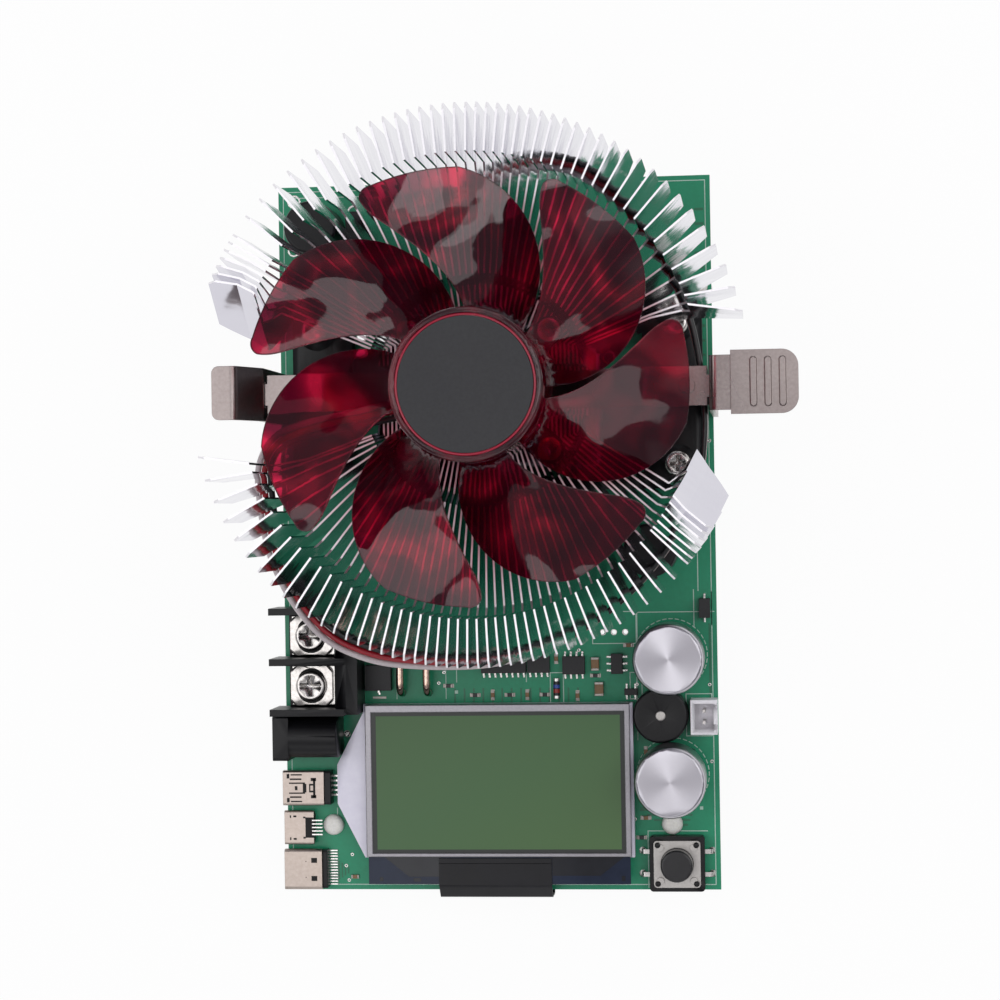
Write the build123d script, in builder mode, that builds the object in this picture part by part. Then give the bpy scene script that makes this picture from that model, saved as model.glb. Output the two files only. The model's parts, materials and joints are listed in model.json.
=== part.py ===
from build123d import *
import os
from math import cos, pi, radians, sin, tan

# Bench load: a circuit board on four posts, with a round fan cooler held down by a
# spring clip, a character display, a screw terminal and four power or data sockets.
# The board lies flat. X runs along its short side, Y along its long side, Z is up.
# Heights of parts on the board are measured from the board's top face.

# Display
bezel_width, bezel_length = 59.4, 33.7
bezel_wall, bezel_lip = 0.9, 0.3
display_offset_x, display_margin = -0.2, 2.0
display_pad_height, display_pad_width = 1.9, 5.0
backlight_height = 2.6
backlight_reach, backlight_lap = 6.0, 1.0
backlight_upper_inset, backlight_upper_chamfer, backlight_lower_chamfer = 1.65, 11.6, 11.85
glass_height = 2.2
glass_ledge, glass_ledge_height = 6.6, 1.1
view_border_x, view_border_y = 2.8, 2.2
view_offset_x, view_offset_y = 0.1, -0.4
flex_x, flex_inset, flex_thickness = -1.0, 16.4, 0.35
flex_bulge, flex_tuck, flex_bend = 0.8, 5.0, 0.7
flex_lap, flex_shoulder, flex_shoulder_level = 6.6, 1.6, 3.6
connector_depth, connector_height, connector_wall = 3.6, 2.0, 1.2

# Circuit board and its four posts
side_strip = 18.3
display_to_cooler, cooler_to_rear = 67.05, 48.05
board_thickness = 1.6
post_height = 8.0
post_across_flats = 5.5
post_bore_radius, post_bore_depth = 1.25, 4.0
post_socket_radius = 1.4
front_post_inset, front_post_y_inset = 10.4, 14.45
rear_post_inset, rear_post_y_inset = 3.1, 24.25
post_hole_radius = 1.6
post_screw_head_radius = 2.3
post_screw_head_height, post_screw_head_round = 1.9, 1.33
post_screw_depth, post_screw_spare = 3.2, 0.2
running_gap = 0.05
pad_hole_radius = 1.1
pad_hole_pitch, pad_row_step, pad_row_shift = 4.9, 4.6, 0.25
pad_row_x, pad_row_y = -35.6, 14.6

# Cooler: its place across the board, and how it is built up
cooler_x = 0.9
transistor_length, transistor_width, transistor_height = 21.0, 15.9, 5.0
transistor_pitch, transistor_chamfer = 19.0, 0.8
transistor_lead_width, transistor_lead_thickness, transistor_lead_pitch = 1.2, 0.6, 5.45
transistor_lead_run, transistor_lead_root = 3.2, 0.4
transistor_lead_bend, transistor_lead_stub = 0.8, 1.2
base_length, base_depth, base_thickness = 46.0, 29.0, 5.0
base_corner, base_chamfer = 1.0, 0.5
sheet_count = 49
sheet_pitch = 0.88
sheet_thickness = 0.4
core_depth = 12.5
core_end_depth = 8.5
core_top = 36.0
fin_radius = 55.8
fin_top = 60.0
fin_rim_depth = 17.0
fin_corner = 1.4
fin_spare = 1.0
foot_reach = 26.1
body_radius, body_rise = 44.0, 3.0
body_bottom, body_shoulder = 16.0, 12.0
bowl_radius, bowl_corner = 46.0, 1.5
bowl_floor, bowl_dip = 42.0, 3.0
bowl_centre_radius, bowl_centre_rim = 22.0, 2.0
middle_sheet_angle = 89.3
right_spread, right_splay = 51.4, 24.2
rear_row_spread, rear_row_splay = 56.5, 34.7
front_row_spread, front_row_splay = 52.0, 28.0

# Bends of the end sheets: distance outside the body's radius, and degrees of turn. The last sheets of
# each row lie in a bunch, and lean towards the clip by some degrees for each mm below their tops.
bunch_start, bunch_angle = 0.75, 9.2
rear_bunch_bends, rear_bunch_tip_turn = [(-0.5, 2.4), (2.5, 0.0), (6.0, -0.2)], 1.4
front_bunch_bends, front_bunch_tip_turn = [(-0.5, 3.6), (2.0, 1.5), (5.5, 0.1)], -1.0
bunch_lean = 0.4
bunch_lap = 0.6
fold_start = 0.875
fold_bends = [(-6.0, 7.5), (0.4, 6.0)]

# Frame that the clip hooks onto
frame_length, frame_depth, frame_height = 90.0, 41.0, 6.0
frame_rail = 3.6
frame_end = 13.0
frame_corner = 4.0
frame_boss_radius, frame_boss_height = 4.2, 8.0
frame_boss_inset_x, frame_boss_inset_y = 5.6, 5.3
frame_screw_radius = 1.5
frame_screw_head_radius, frame_screw_head_height, frame_screw_head_round = 2.8, 1.8, 0.9
frame_slot_half, frame_slot_width, frame_slot_depth = 1.7, 0.7, 1.1
frame_nut_across_flats, frame_nut_height = 5.4, 2.0
lug_width, lug_reach, lug_height = 6.0, 4.6, 2.6
lug_level = 2.6

# Spring clip
clip_offset = 0.5
strap_width, strap_thickness = 8.2, 1.2
strap_end_level, strap_low_level = 27.0, 21.5
strap_low_half, strap_slope_half, strap_bend_radius = 14.0, 34.0, 6.0
strap_neck_width, strap_neck_length, strap_neck_lap = 4.6, 2.4, 2.0
strap_head_width, strap_head_length = 7.0, 1.4
strap_rivet_radius, strap_rivet_height = 1.6, 0.5
strap_slot_margin = 1.1
hook_width, hook_thickness = 11.2, 1.2
hook_gap = 2.0
hook_top = 38.0
hook_foot = 1.0
hook_window_margin = 0.5
left_hook_lip = 3.9
left_hook_lean = 3.8
left_hook_lean_start = 1.5
hook_bend_radius = 1.0
hook_end_corner = 1.5
lever_band = 3.2
lever_tab_length, lever_tab_width = 13.7, 13.0
lever_lap = 1.0
lever_tab_corner = 3.4
lever_rise = 0.8
lever_rib_length, lever_rib_width, lever_rib_height = 10.2, 1.5, 0.5
lever_rib_count, lever_rib_pitch, lever_rib_taper = 3, 2.95, 20
lever_rib_first = 4.6

# Fan motor and impeller, heights from the board's top face
bracket_radius, bracket_thickness = 13.6, 2.0
bracket_arm_angle, bracket_arm_width = 40.0, 6.0
bracket_screw_circle = 19.0
bracket_screw_radius, bracket_screw_depth, bracket_screw_spare = 1.2, 8.0, 1.0
bracket_screw_head_radius, bracket_screw_head_height = 2.4, 1.4
bracket_slot_half, bracket_slot_width, bracket_slot_depth = 1.56, 0.6, 0.7
bearing_wall, bearing_height = 1.2, 15.0
sleeve_radius = 3.0
shaft_radius, shaft_end_gap = 1.5, 0.5
stator_seat_height, stator_seat_radius = 4.6, 5.4
motor_board_radius, motor_board_thickness = 12.8, 1.0
pole_count = 4
stator_height, stator_radius, stator_pole_width = 5.0, 11.8, 3.0
stator_yoke_radius, stator_shoe_depth, stator_shoe_angle = 6.2, 1.4, 62.0
coil_thickness, coil_gap = 1.5, 0.4
magnet_thickness, magnet_height, magnet_setback = 1.2, 9.0, 0.3
cup_wall = 0.7
cup_boss_wall, cup_boss_height = 1.6, 2.2
hub_radius = 15.3
hub_wall = 0.9
hub_bottom, hub_top = 41.5, 62.2
hub_roof = 1.8
hub_edge_round = 0.9
hub_rim_width, hub_recess_depth = 1.2, 0.5
hub_disc_gap, hub_disc_thickness = 0.7, 0.4
blade_count = 7
blade_radius = 43.7
blade_thickness = 1.1
blade_low, blade_high = 44.2, 61.0
blade_phase = 109.0
blade_root_depth = 0.5
blade_slab_share, blade_slab_steps, blade_slab_margin = 1.3, 6, 6.0

# Outline of one blade: degrees from the start of its front edge, and setbacks from its tip circle
blade_tip_angle, blade_tip_setback = 10.2, 1.7
blade_tip_round_angle, blade_tip_round_setback = 8.9, 0.4
blade_tip_end_angle = 6.0
blade_front_edge = [(-1.0, 15.7), (7.0, 8.2), (9.6, 4.6)]
blade_front_root_angle = -17.0
blade_rim_angle = -5.0
blade_heel_angle = -17.0
blade_rear_angle, blade_rear_setback = -39.5, 9.18
blade_root_angle = -57.0

# Fan lead: three single wires laid side by side round the fin stack
wire_radius = 0.65
wire_pitch = 1.45
arc_share = 0.45

# Screw terminal at the left edge
terminal_edge_inset, terminal_depth = 2.0, 15.8
terminal_wall_reach, terminal_wall_start = 3.0, 2.5
terminal_gap, terminal_pitch = 0.15, 11.0
terminal_ways = 2
terminal_wall = 1.5
terminal_floor, terminal_wall_height, terminal_back_height = 5.4, 13.6, 10.0
terminal_back = 5.0
terminal_well_radius, terminal_well_depth = 2.1, 4.6
contact_width, contact_thickness, contact_setback = 8.4, 0.9, 0.8
contact_pin_offset, contact_pin_pitch = 1.5, 5.0
clamp_setback = 5.2
clamp_length, clamp_width, clamp_thickness = 9.2, 8.6, 1.0
clamp_gap = 0.1
clamp_corner = 1.6
clamp_waist_radius, clamp_waist_depth = 4.0, 0.5
terminal_screw_radius, terminal_screw_length = 1.75, 6.0
terminal_head_radius, terminal_head_height, terminal_head_round = 3.3, 1.8, 0.7
terminal_slot_width, terminal_slot_depth, terminal_slot_half = 0.9, 1.0, 2.2

# Round power socket
power_gap = 2.85
power_flange_width, power_flange_length, power_height = 9.8, 3.4, 11.0
power_body_width, power_body_length = 8.6, 10.5
power_axis_height = 6.5
power_bore_radius, power_bore_depth = 3.15, 9.5
power_pin_radius, power_pin_length, power_pin_root, power_pin_chamfer = 1.0, 8.0, 1.5, 0.33
power_overhang, power_corner = 1.0, 0.6
power_tab_places = [(6.0, -3.0), (9.0, 3.0), (13.6, 0.0)]

# Data sockets along the left edge, from the front: name, gap before it, width, depth, height,
# share of its width at the bottom, corner radius
data_sockets = [("type_c_socket", 0.38, 8.94, 8.4, 3.2, 0.66, 0.7),
                ("micro_socket", 0.98, 7.5, 6.6, 2.6, 0.7, 0.5),
                ("mini_socket", 1.3, 7.7, 9.2, 3.9, 0.78, 0.5)]
shell_wall = 0.3
socket_overhang = 0.3
socket_knee = 0.45
socket_block = 2.2
tongue_share, tongue_thickness, tongue_setback = 0.6, 0.7, 1.2

# Push button
switch_inset, switch_margin = 9.4, 0.05
switch_size, switch_height = 12.0, 3.4
switch_cover_size, switch_cover_thickness = 10.2, 0.4
switch_rivet_radius, switch_rivet_inset = 0.8, 1.5
button_radius, button_top = 3.5, 7.3
button_gap = 0.1
button_travel = 0.35
button_flange_radius, button_flange_thickness = 4.2, 0.8
button_round = 0.5
switch_corner = 0.8
switch_lead_width, switch_lead_thickness, switch_lead_pitch = 1.0, 0.4, 5.0
switch_lead_level, switch_lead_bend = 1.4, 0.4
switch_lead_run = 1.6

# Two adjusting knobs with their potentiometers
knob_inset = 10.1
fine_gap, knob_pitch = 5.7, 26.1
knob_radius, knob_height, knob_bottom = 7.6, 11.5, 6.8
knob_wall, knob_chamfer = 1.3, 0.7
knob_hollow, knob_boss_radius, knob_boss_gap = 9.0, 3.4, 0.6
pot_width, pot_length, pot_height, pot_corner = 10.0, 11.0, 5.0, 0.6
pot_neck_radius, pot_neck_height = 3.0, 3.0
pot_shaft_radius, pot_shaft_flat = 2.0, 0.5
pot_pin_pitch, pot_pin_reach = 2.5, 3.8

# Buzzer and sensor socket between the knobs
buzzer_inset, buzzer_offset = 12.4, 0.15
buzzer_radius, buzzer_height, buzzer_hole_radius, buzzer_hole_depth = 6.0, 6.0, 1.0, 1.5
buzzer_round = 0.6
buzzer_pin_pitch = 6.5
sensor_inset, sensor_offset = 3.0, -0.15
sensor_width, sensor_length, sensor_height = 5.75, 7.5, 7.0
sensor_wall, sensor_floor = 0.8, 1.2
sensor_slot_pitch, sensor_slot_width, sensor_slot_depth = 4.0, 1.0, 4.0
sensor_pin_size, sensor_pin_pitch, sensor_pin_top = 0.64, 2.5, 5.6

# Other parts soldered to the board, with their places from the cooler's axis or the display's edge
capacitor_radius, capacitor_height, capacitor_round = 5.8, 12.5, 0.7
rear_capacitor_x, rear_capacitor_y = -39.6, 37.6
side_capacitor_x, side_capacitor_y = 33.3, -33.8
film_x, film_y, film_width, film_length, film_height = -29.3, 38.2, 6.4, 6.2, 8.0
film_corner = 0.5
shunt_radius = 0.85
shunt_x, shunt_pitch, shunt_gap, shunt_length, shunt_rise = -18.9, 5.9, 2.25, 15.2, 3.0
shunt_bend = 2.2
fan_jack_x, fan_jack_y, fan_jack_pitch = 24.5, -51.9, 2.54
small_hole_radius = 0.5
lead_radius, lead_hole_radius, lead_depth = 0.5, 0.8, 3.2
capacitor_lead_pitch = 5.0

# Chips and diodes behind the display: middle X, distance from the display's edge, length along the
# rows of leads, width, height, leads in a row, their pitch, and the direction of the rows
chips = [(1.0, 8.4, 9.9, 3.9, 1.7, 8, 1.27, 0), (8.75, 8.4, 4.9, 3.9, 1.7, 4, 1.27, 0),
         (16.5, 8.0, 4.9, 3.9, 1.7, 4, 1.27, 0), (-26.9, 5.65, 5.8, 5.6, 2.4, 1, 1.0, 0),
         (26.0, 8.25, 4.4, 2.5, 1.5, 3, 1.5, 90), (29.0, 2.05, 2.9, 1.4, 1.1, 2, 1.9, 0),
         (45.4, 20.25, 2.4, 4.2, 2.1, 1, 1.0, 0)]
chip_lift, chip_lead_width, chip_lead_thickness = 0.1, 0.42, 0.2
chip_lead_knee, chip_lead_foot = 0.45, 1.05

# Places on the board, from its centre
glass_length = bezel_length - 2 * bezel_wall
glass_width = bezel_width - 2 * bezel_wall
board_width = bezel_width + 2 * side_strip
board_length = (display_margin + glass_ledge + glass_length + bezel_wall
                + display_to_cooler + cooler_to_rear)
left_edge, right_edge = -board_width / 2, board_width / 2
front_edge, rear_edge = -board_length / 2, board_length / 2
display_x = display_offset_x
display_y = front_edge + display_margin + glass_ledge + glass_length / 2
display_rear = display_y + bezel_length / 2
cooler_y = rear_edge - cooler_to_rear
front_post_x, front_post_y = right_edge - front_post_inset, front_edge + front_post_y_inset
rear_post_x, rear_post_y = right_edge - rear_post_inset, rear_edge - rear_post_y_inset
frame_screw_x = frame_length / 2 - frame_boss_inset_x
frame_screw_y = frame_depth / 2 - frame_boss_inset_y
strap_shoulder = frame_length / 2 + hook_gap - hook_thickness / 2
hook_centre = strap_shoulder + strap_neck_length / 2
switch_x, switch_y = right_edge - switch_inset, front_edge + switch_margin + switch_size / 2
knob_x = right_edge - knob_inset
fine_y = switch_y + switch_size / 2 + fine_gap + knob_radius
coarse_y = fine_y + knob_pitch
between_knobs_y = (fine_y + coarse_y) / 2
buzzer_x, buzzer_y = right_edge - buzzer_inset, between_knobs_y + buzzer_offset
sensor_x, sensor_y = right_edge - sensor_inset, between_knobs_y + sensor_offset
socket_places = []
socket_end = front_edge
for socket in data_sockets:
    gap_before, mouth_width = socket[1:3]
    socket_places.append(socket_end + gap_before + mouth_width / 2)
    socket_end += gap_before + mouth_width
power_y = socket_end + power_gap + power_flange_width / 2
terminal_left = -left_edge - terminal_edge_inset
terminal_right = terminal_left - terminal_depth
clamp_reach = terminal_left - clamp_setback
terminal_first_y = (power_y + power_flange_width / 2 + terminal_gap + terminal_wall / 2
                    + terminal_ways * terminal_pitch)
shunt_y = display_rear + shunt_gap + shunt_length / 2

# Positions in the part's frame, which has the middle of the whole outline at X0 Y0
# and the surface that the posts stand on at Z0
board_top = post_height + board_thickness
lever_reach = hook_centre + hook_thickness / 2 + lever_band + lever_tab_length
lip_reach = hook_centre + hook_thickness / 2 + left_hook_lean + left_hook_lip
board_x = -cooler_x - (lever_reach - lip_reach) / 2
board_y = (rear_edge + flex_bulge + flex_thickness - cooler_y - fin_radius) / 2
axis_x = board_x + cooler_x
axis_y = board_y + cooler_y


def on_board(x=0.0, y=0.0, height=0.0):
    """Plane on the board: x and y from the board's centre, height above its top face."""
    return Plane(origin=(board_x + x, board_y + y, board_top + height))


def on_cooler(height=0.0):
    """Plane across the cooler's axis, at a height above the board's top face."""
    return Plane(origin=(axis_x, axis_y, board_top + height))


def side_of_board(x=0.0, y=0.0, height=0.0):
    """Upright plane that faces the front: its X is the board's X and its Y points up."""
    return Plane(origin=(board_x + x, board_y + y, board_top + height), x_dir=(1, 0, 0), z_dir=(0, -1, 0))


def end_of_board(x=0.0, y=0.0, height=0.0):
    """Upright plane that faces right: its X is the board's Y and its Y points up."""
    return Plane(origin=(board_x + x, board_y + y, board_top + height), x_dir=(0, 1, 0), z_dir=(1, 0, 0))


def polar(radius, angle):
    """Point at a radius and an angle in degrees."""
    return (radius * cos(radians(angle)), radius * sin(radians(angle)))


def finish(piece, name):
    """Label a finished piece and write it out."""
    piece.label = name
    export_step(piece, f"parts/{name}.step")


os.makedirs("parts", exist_ok=True)

post_spots = [(-front_post_x, front_post_y), (front_post_x, front_post_y),
              (-rear_post_x, rear_post_y), (rear_post_x, rear_post_y)]
frame_screw_spots = [(cooler_x + i * frame_screw_x, cooler_y + j * frame_screw_y)
                     for i in (-1, 1) for j in (-1, 1)]
transistor_lead_spots = [(cooler_x + i * transistor_pitch / 2 + j * transistor_lead_pitch,
                          cooler_y - transistor_length / 2 - transistor_lead_run)
                         for i in (-1, 1) for j in (-1, 0, 1)]
big_capacitor_spots = [(cooler_x + rear_capacitor_x, cooler_y + rear_capacitor_y),
                       (cooler_x + side_capacitor_x, cooler_y + side_capacitor_y)]
film_spot = (cooler_x + film_x, cooler_y + film_y)
capacitor_lead_spots = [(x + i * capacitor_lead_pitch / 2, y)
                        for x, y in big_capacitor_spots + [film_spot] for i in (-1, 1)]
shunt_spots = [(shunt_x + i * shunt_pitch / 2, shunt_y + j * shunt_length / 2)
               for i in (-1, 1) for j in (-1, 1)]
contact_x = -(terminal_left + terminal_right) / 2 + contact_pin_offset
contact_spots = [(contact_x, terminal_first_y - terminal_pitch * (way + 1 / 2) + i * contact_pin_pitch / 2)
                 for way in range(terminal_ways) for i in (-1, 1)]
switch_lead_reach = switch_size / 2 + switch_lead_run
switch_lead_spots = [(switch_x + i * switch_lead_reach, switch_y + j * switch_lead_pitch / 2)
                     for i in (-1, 1) for j in (-1, 1)]
pot_pin_spots = [(knob_x - pot_pin_reach, y + i * pot_pin_pitch) for y in (coarse_y, fine_y)
                 for i in (-1, 0, 1)]
sensor_pin_spots = [(sensor_x, sensor_y + i * sensor_pin_pitch / 2) for i in (-1, 1)]
buzzer_pin_spots = [(buzzer_x + i * buzzer_pin_pitch / 2, buzzer_y) for i in (-1, 1)]
power_tab_spots = [(left_edge + reach, power_y + offset) for reach, offset in power_tab_places]
thin_lead_spots = (transistor_lead_spots + capacitor_lead_spots + contact_spots + switch_lead_spots
                   + pot_pin_spots + sensor_pin_spots + buzzer_pin_spots + power_tab_spots)
pad_holes = [(cooler_x + pad_row_x + i * pad_hole_pitch - j * pad_row_shift,
              cooler_y + pad_row_y - j * pad_row_step) for i in range(3) for j in range(2)]

with BuildPart() as circuit_board:
    with BuildSketch(on_board(height=-board_thickness)):
        Rectangle(board_width, board_length)
        with Locations(*post_spots):
            Circle(post_hole_radius, mode=Mode.SUBTRACT)
        with Locations(*frame_screw_spots):
            Circle(frame_screw_radius + running_gap, mode=Mode.SUBTRACT)
        with Locations(*pad_holes):
            Circle(pad_hole_radius, mode=Mode.SUBTRACT)
        with Locations(*thin_lead_spots):
            Circle(lead_hole_radius, mode=Mode.SUBTRACT)
        with Locations(*shunt_spots):
            Circle(shunt_radius + running_gap, mode=Mode.SUBTRACT)
        with Locations((cooler_x + fan_jack_x, cooler_y + fan_jack_y)):
            with GridLocations(fan_jack_pitch, 0, 3, 1):
                Circle(small_hole_radius, mode=Mode.SUBTRACT)
    extrude(amount=board_thickness)
finish(circuit_board.part, "circuit_board")

# Posts stand under the board, each with a blind bore from below and one for its screw from above
with BuildPart() as board_posts:
    with BuildSketch(on_board(height=-board_thickness - post_height)):
        with Locations(*post_spots):
            RegularPolygon(post_across_flats / 2, 6, major_radius=False)
    extrude(amount=post_height)
    with BuildSketch(on_board(height=-board_thickness - post_height)):
        with Locations(*post_spots):
            Circle(post_bore_radius)
    extrude(amount=post_bore_depth, mode=Mode.SUBTRACT)
    with BuildSketch(on_board(height=-board_thickness)):
        with Locations(*post_spots):
            Circle(post_socket_radius)
    extrude(amount=-post_screw_depth - post_screw_spare, mode=Mode.SUBTRACT)
finish(board_posts.part, "board_posts")

with BuildPart() as post_screws:
    with BuildSketch(on_board()):
        with Locations(*post_spots):
            Circle(post_screw_head_radius)
    extrude(amount=post_screw_head_height)
    fillet(post_screws.edges().group_by(Axis.Z)[-1], post_screw_head_round)
    with BuildSketch(on_board(height=-board_thickness)):
        with Locations(*post_spots):
            Circle(post_hole_radius - 2 * running_gap)
    extrude(amount=board_thickness)
    with BuildSketch(on_board(height=-board_thickness - post_screw_depth)):
        with Locations(*post_spots):
            Circle(post_socket_radius - running_gap)
    extrude(amount=post_screw_depth)
finish(post_screws.part, "post_screws")

# Moulded frame round the heat sink's foot, with a lug at each end for the clip
with BuildPart() as retention_frame:
    with BuildSketch(on_cooler()):
        RectangleRounded(frame_length, frame_depth, frame_corner)
        Rectangle(frame_length - 2 * frame_end, frame_depth - 2 * frame_rail, mode=Mode.SUBTRACT)
    extrude(amount=frame_height)
    with BuildSketch(on_cooler()):
        with GridLocations(2 * frame_screw_x, 2 * frame_screw_y, 2, 2):
            Circle(frame_boss_radius)
    extrude(amount=frame_boss_height)
    with BuildSketch(on_cooler(lug_level)):
        with Locations((0, clip_offset)):
            Rectangle(frame_length + 2 * lug_reach, lug_width)
    extrude(amount=lug_height)
    with BuildSketch(on_cooler()):
        Rectangle(frame_length - 2 * frame_end, frame_depth - 2 * frame_rail)
    extrude(amount=frame_boss_height, mode=Mode.SUBTRACT)
    with BuildSketch(on_cooler()):
        with GridLocations(2 * frame_screw_x, 2 * frame_screw_y, 2, 2):
            Circle(frame_screw_radius + running_gap)
    extrude(amount=frame_boss_height, mode=Mode.SUBTRACT)
finish(retention_frame.part, "retention_frame")

with BuildPart() as frame_screws:
    with BuildSketch(on_cooler(-board_thickness)):
        with GridLocations(2 * frame_screw_x, 2 * frame_screw_y, 2, 2):
            Circle(frame_screw_radius)
    extrude(amount=board_thickness + frame_boss_height)
    with BuildSketch(on_cooler(frame_boss_height)):
        with GridLocations(2 * frame_screw_x, 2 * frame_screw_y, 2, 2):
            Circle(frame_screw_head_radius)
    extrude(amount=frame_screw_head_height)
    fillet(frame_screws.edges().group_by(Axis.Z)[-1], frame_screw_head_round)
    with BuildSketch(on_cooler(frame_boss_height + frame_screw_head_height)):
        with GridLocations(2 * frame_screw_x, 2 * frame_screw_y, 2, 2):
            Rectangle(2 * frame_slot_half, frame_slot_width)
            Rectangle(frame_slot_width, 2 * frame_slot_half)
    extrude(amount=-frame_slot_depth, mode=Mode.SUBTRACT)
    with BuildSketch(on_cooler(-board_thickness - frame_nut_height)):
        with GridLocations(2 * frame_screw_x, 2 * frame_screw_y, 2, 2):
            RegularPolygon(frame_nut_across_flats / 2, 6, major_radius=False)
    extrude(amount=frame_nut_height)
finish(frame_screws.part, "frame_screws")

# Two power transistors lie flat under the heat sink, their leads bent down through the board
with BuildPart() as power_transistors:
    with BuildSketch(on_cooler()):
        with GridLocations(transistor_pitch, 0, 2, 1):
            Rectangle(transistor_width, transistor_length)
    extrude(amount=transistor_height)
    chamfer(power_transistors.edges().filter_by(Axis.Z), transistor_chamfer)
    for side in (-1, 1):
        for lead in (-1, 0, 1):
            lead_x = cooler_x + side * transistor_pitch / 2 + lead * transistor_lead_pitch
            lead_start = cooler_y - transistor_length / 2
            with BuildSketch(end_of_board(lead_x - transistor_lead_width / 2, lead_start)):
                with BuildLine():
                    FilletPolyline((transistor_lead_root, transistor_height / 2),
                                   (-transistor_lead_run, transistor_height / 2),
                                   (-transistor_lead_run, -board_thickness - transistor_lead_stub),
                                   radius=transistor_lead_bend)
                trace(line_width=transistor_lead_thickness)
            extrude(amount=transistor_lead_width)
finish(power_transistors.part, "power_transistors")

# Heat sink: a base block and a stack of sheets that fan out on both sides of the core
with BuildPart() as heatsink_base:
    with BuildSketch(on_cooler(transistor_height)):
        RectangleRounded(base_length, base_depth, base_corner)
    extrude(amount=base_thickness)
    chamfer(heatsink_base.edges().group_by(Axis.Z)[-1], base_chamfer)
finish(heatsink_base.part, "heatsink_base")


rear_row = (rear_row_spread, rear_row_splay, rear_bunch_bends, rear_bunch_tip_turn)
front_row = (front_row_spread, front_row_splay, front_bunch_bends, front_bunch_tip_turn)


def sheet_angle(share, spread, splay):
    """Angle of a sheet's outer end. share runs from -1 at the right end to 1 at the left."""
    if share <= 0:
        return middle_sheet_angle + right_spread * share + right_splay * share**3
    open_share = min(share, bunch_start)
    angle = middle_sheet_angle + spread * open_share + splay * open_share**3
    return angle + (share - open_share) / (1 - bunch_start) * bunch_angle


def bunch_share(share):
    """How far a sheet is into its bunch, from 0 outside it to 1 at its last sheet."""
    return max(0.0, (share - bunch_start) / (1 - bunch_start))


def sheet_half(share, row, drop=0.0):
    """One half of a sheet seen from above at a drop below its top, from the middle of the core out."""
    spread, splay, bends, tip_turn = row
    angle = sheet_angle(share, spread, splay)
    bunch = bunch_share(share)
    fold = max(0.0, (-share - fold_start) / (1 - fold_start))**2
    lean = bunch**2 * bunch_lean * drop
    core_end = core_depth + (core_end_depth - core_depth) * share**2
    core_x = -share * sheet_pitch * (sheet_count - 1) / 2
    points = [(core_x, 0), (core_x, core_end)]
    if bunch > 0:
        points += [polar(body_radius + out, angle + turn * bunch + (lean if out > 0 else 0))
                   for out, turn in bends]
    if fold > 0:
        points += [polar(body_radius + out, angle + turn * fold) for out, turn in fold_bends]
    return points + [polar(fin_radius, angle + tip_turn * bunch + lean)]


def body_half(share, row):
    """The part of a sheet's half that stands upright: all of it, or up to its first bend in a bunch."""
    points = sheet_half(share, row)
    return points[:3] if bunch_share(share) > 0 else points


def wing(share, row, drop):
    """The leaning outer part of a bunched sheet, lapped onto its upright part."""
    points = sheet_half(share, row, drop)
    root, bend = Vector(*points[1]), Vector(*points[2])
    lap = bend + (root - bend).normalized() * bunch_lap
    return [(lap.X, lap.Y)] + points[2:]


bracket_arm_angles = [bracket_arm_angle, 180 - bracket_arm_angle,
                      180 + bracket_arm_angle, -bracket_arm_angle]
bracket_screw_spots = [polar(bracket_screw_circle, angle) for angle in bracket_arm_angles]
sheet_shares = [2 * i / (sheet_count - 1) - 1 for i in range(sheet_count)]
foot_level = transistor_height + base_thickness
wing_drop = fin_top - body_bottom - body_shoulder

with BuildPart() as heatsink_fins:
    with BuildSketch(on_cooler(foot_level)):
        for share in sheet_shares:
            rear_half = body_half(share, rear_row)
            front_half = [(-x, -y) for x, y in body_half(-share, front_row)]
            with BuildLine():
                Polyline(*(front_half[:0:-1] + rear_half[1:]))
            trace(line_width=sheet_thickness)
    extrude(amount=fin_top - foot_level)
    for share in [share for share in sheet_shares if bunch_share(share) > 0]:
        for side, row in ((1, rear_row), (-1, front_row)):
            for drop in (wing_drop, 0.0):
                with BuildSketch(on_cooler(fin_top - drop)):
                    with BuildLine():
                        Polyline(*[(side * x, side * y) for x, y in wing(share, row, drop)])
                    trace(line_width=sheet_thickness)
            loft(ruled=True)
    with BuildSketch(side_of_board(cooler_x, cooler_y)):
        with BuildLine():
            Polyline((0, foot_level), (foot_reach, foot_level), (base_depth, body_bottom),
                     (body_radius, body_bottom + body_rise), (bowl_radius, body_bottom + body_shoulder),
                     (fin_radius + fin_spare, fin_top - fin_rim_depth),
                     (fin_radius + fin_spare, fin_top - fin_corner - fin_spare),
                     (fin_radius - fin_corner, fin_top), (bowl_radius, fin_top),
                     (bowl_radius, bowl_floor + bowl_corner), (bowl_radius - bowl_corner, bowl_floor),
                     (bowl_centre_radius + bowl_centre_rim, bowl_floor - bowl_dip),
                     (bowl_centre_radius, core_top), (0, core_top), close=True)
        make_face()
    revolve(axis=Axis((axis_x, axis_y, 0), (0, 0, 1)), mode=Mode.INTERSECT)
    with BuildSketch(on_cooler(core_top)):
        Rectangle(2 * bowl_centre_radius, strap_width + 2 * strap_slot_margin)
    extrude(amount=strap_low_level - strap_thickness / 2 - core_top, mode=Mode.SUBTRACT)
    with BuildSketch(on_cooler(core_top)):
        with Locations(*bracket_screw_spots):
            Circle(bracket_screw_radius + 2 * running_gap)
    extrude(amount=-bracket_screw_depth - bracket_screw_spare, mode=Mode.SUBTRACT)
finish(heatsink_fins.part, "heatsink_fins")

# Spring clip: a strap bowed down onto the core, and a hook plate on each end
clip_y = cooler_y + clip_offset

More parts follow.
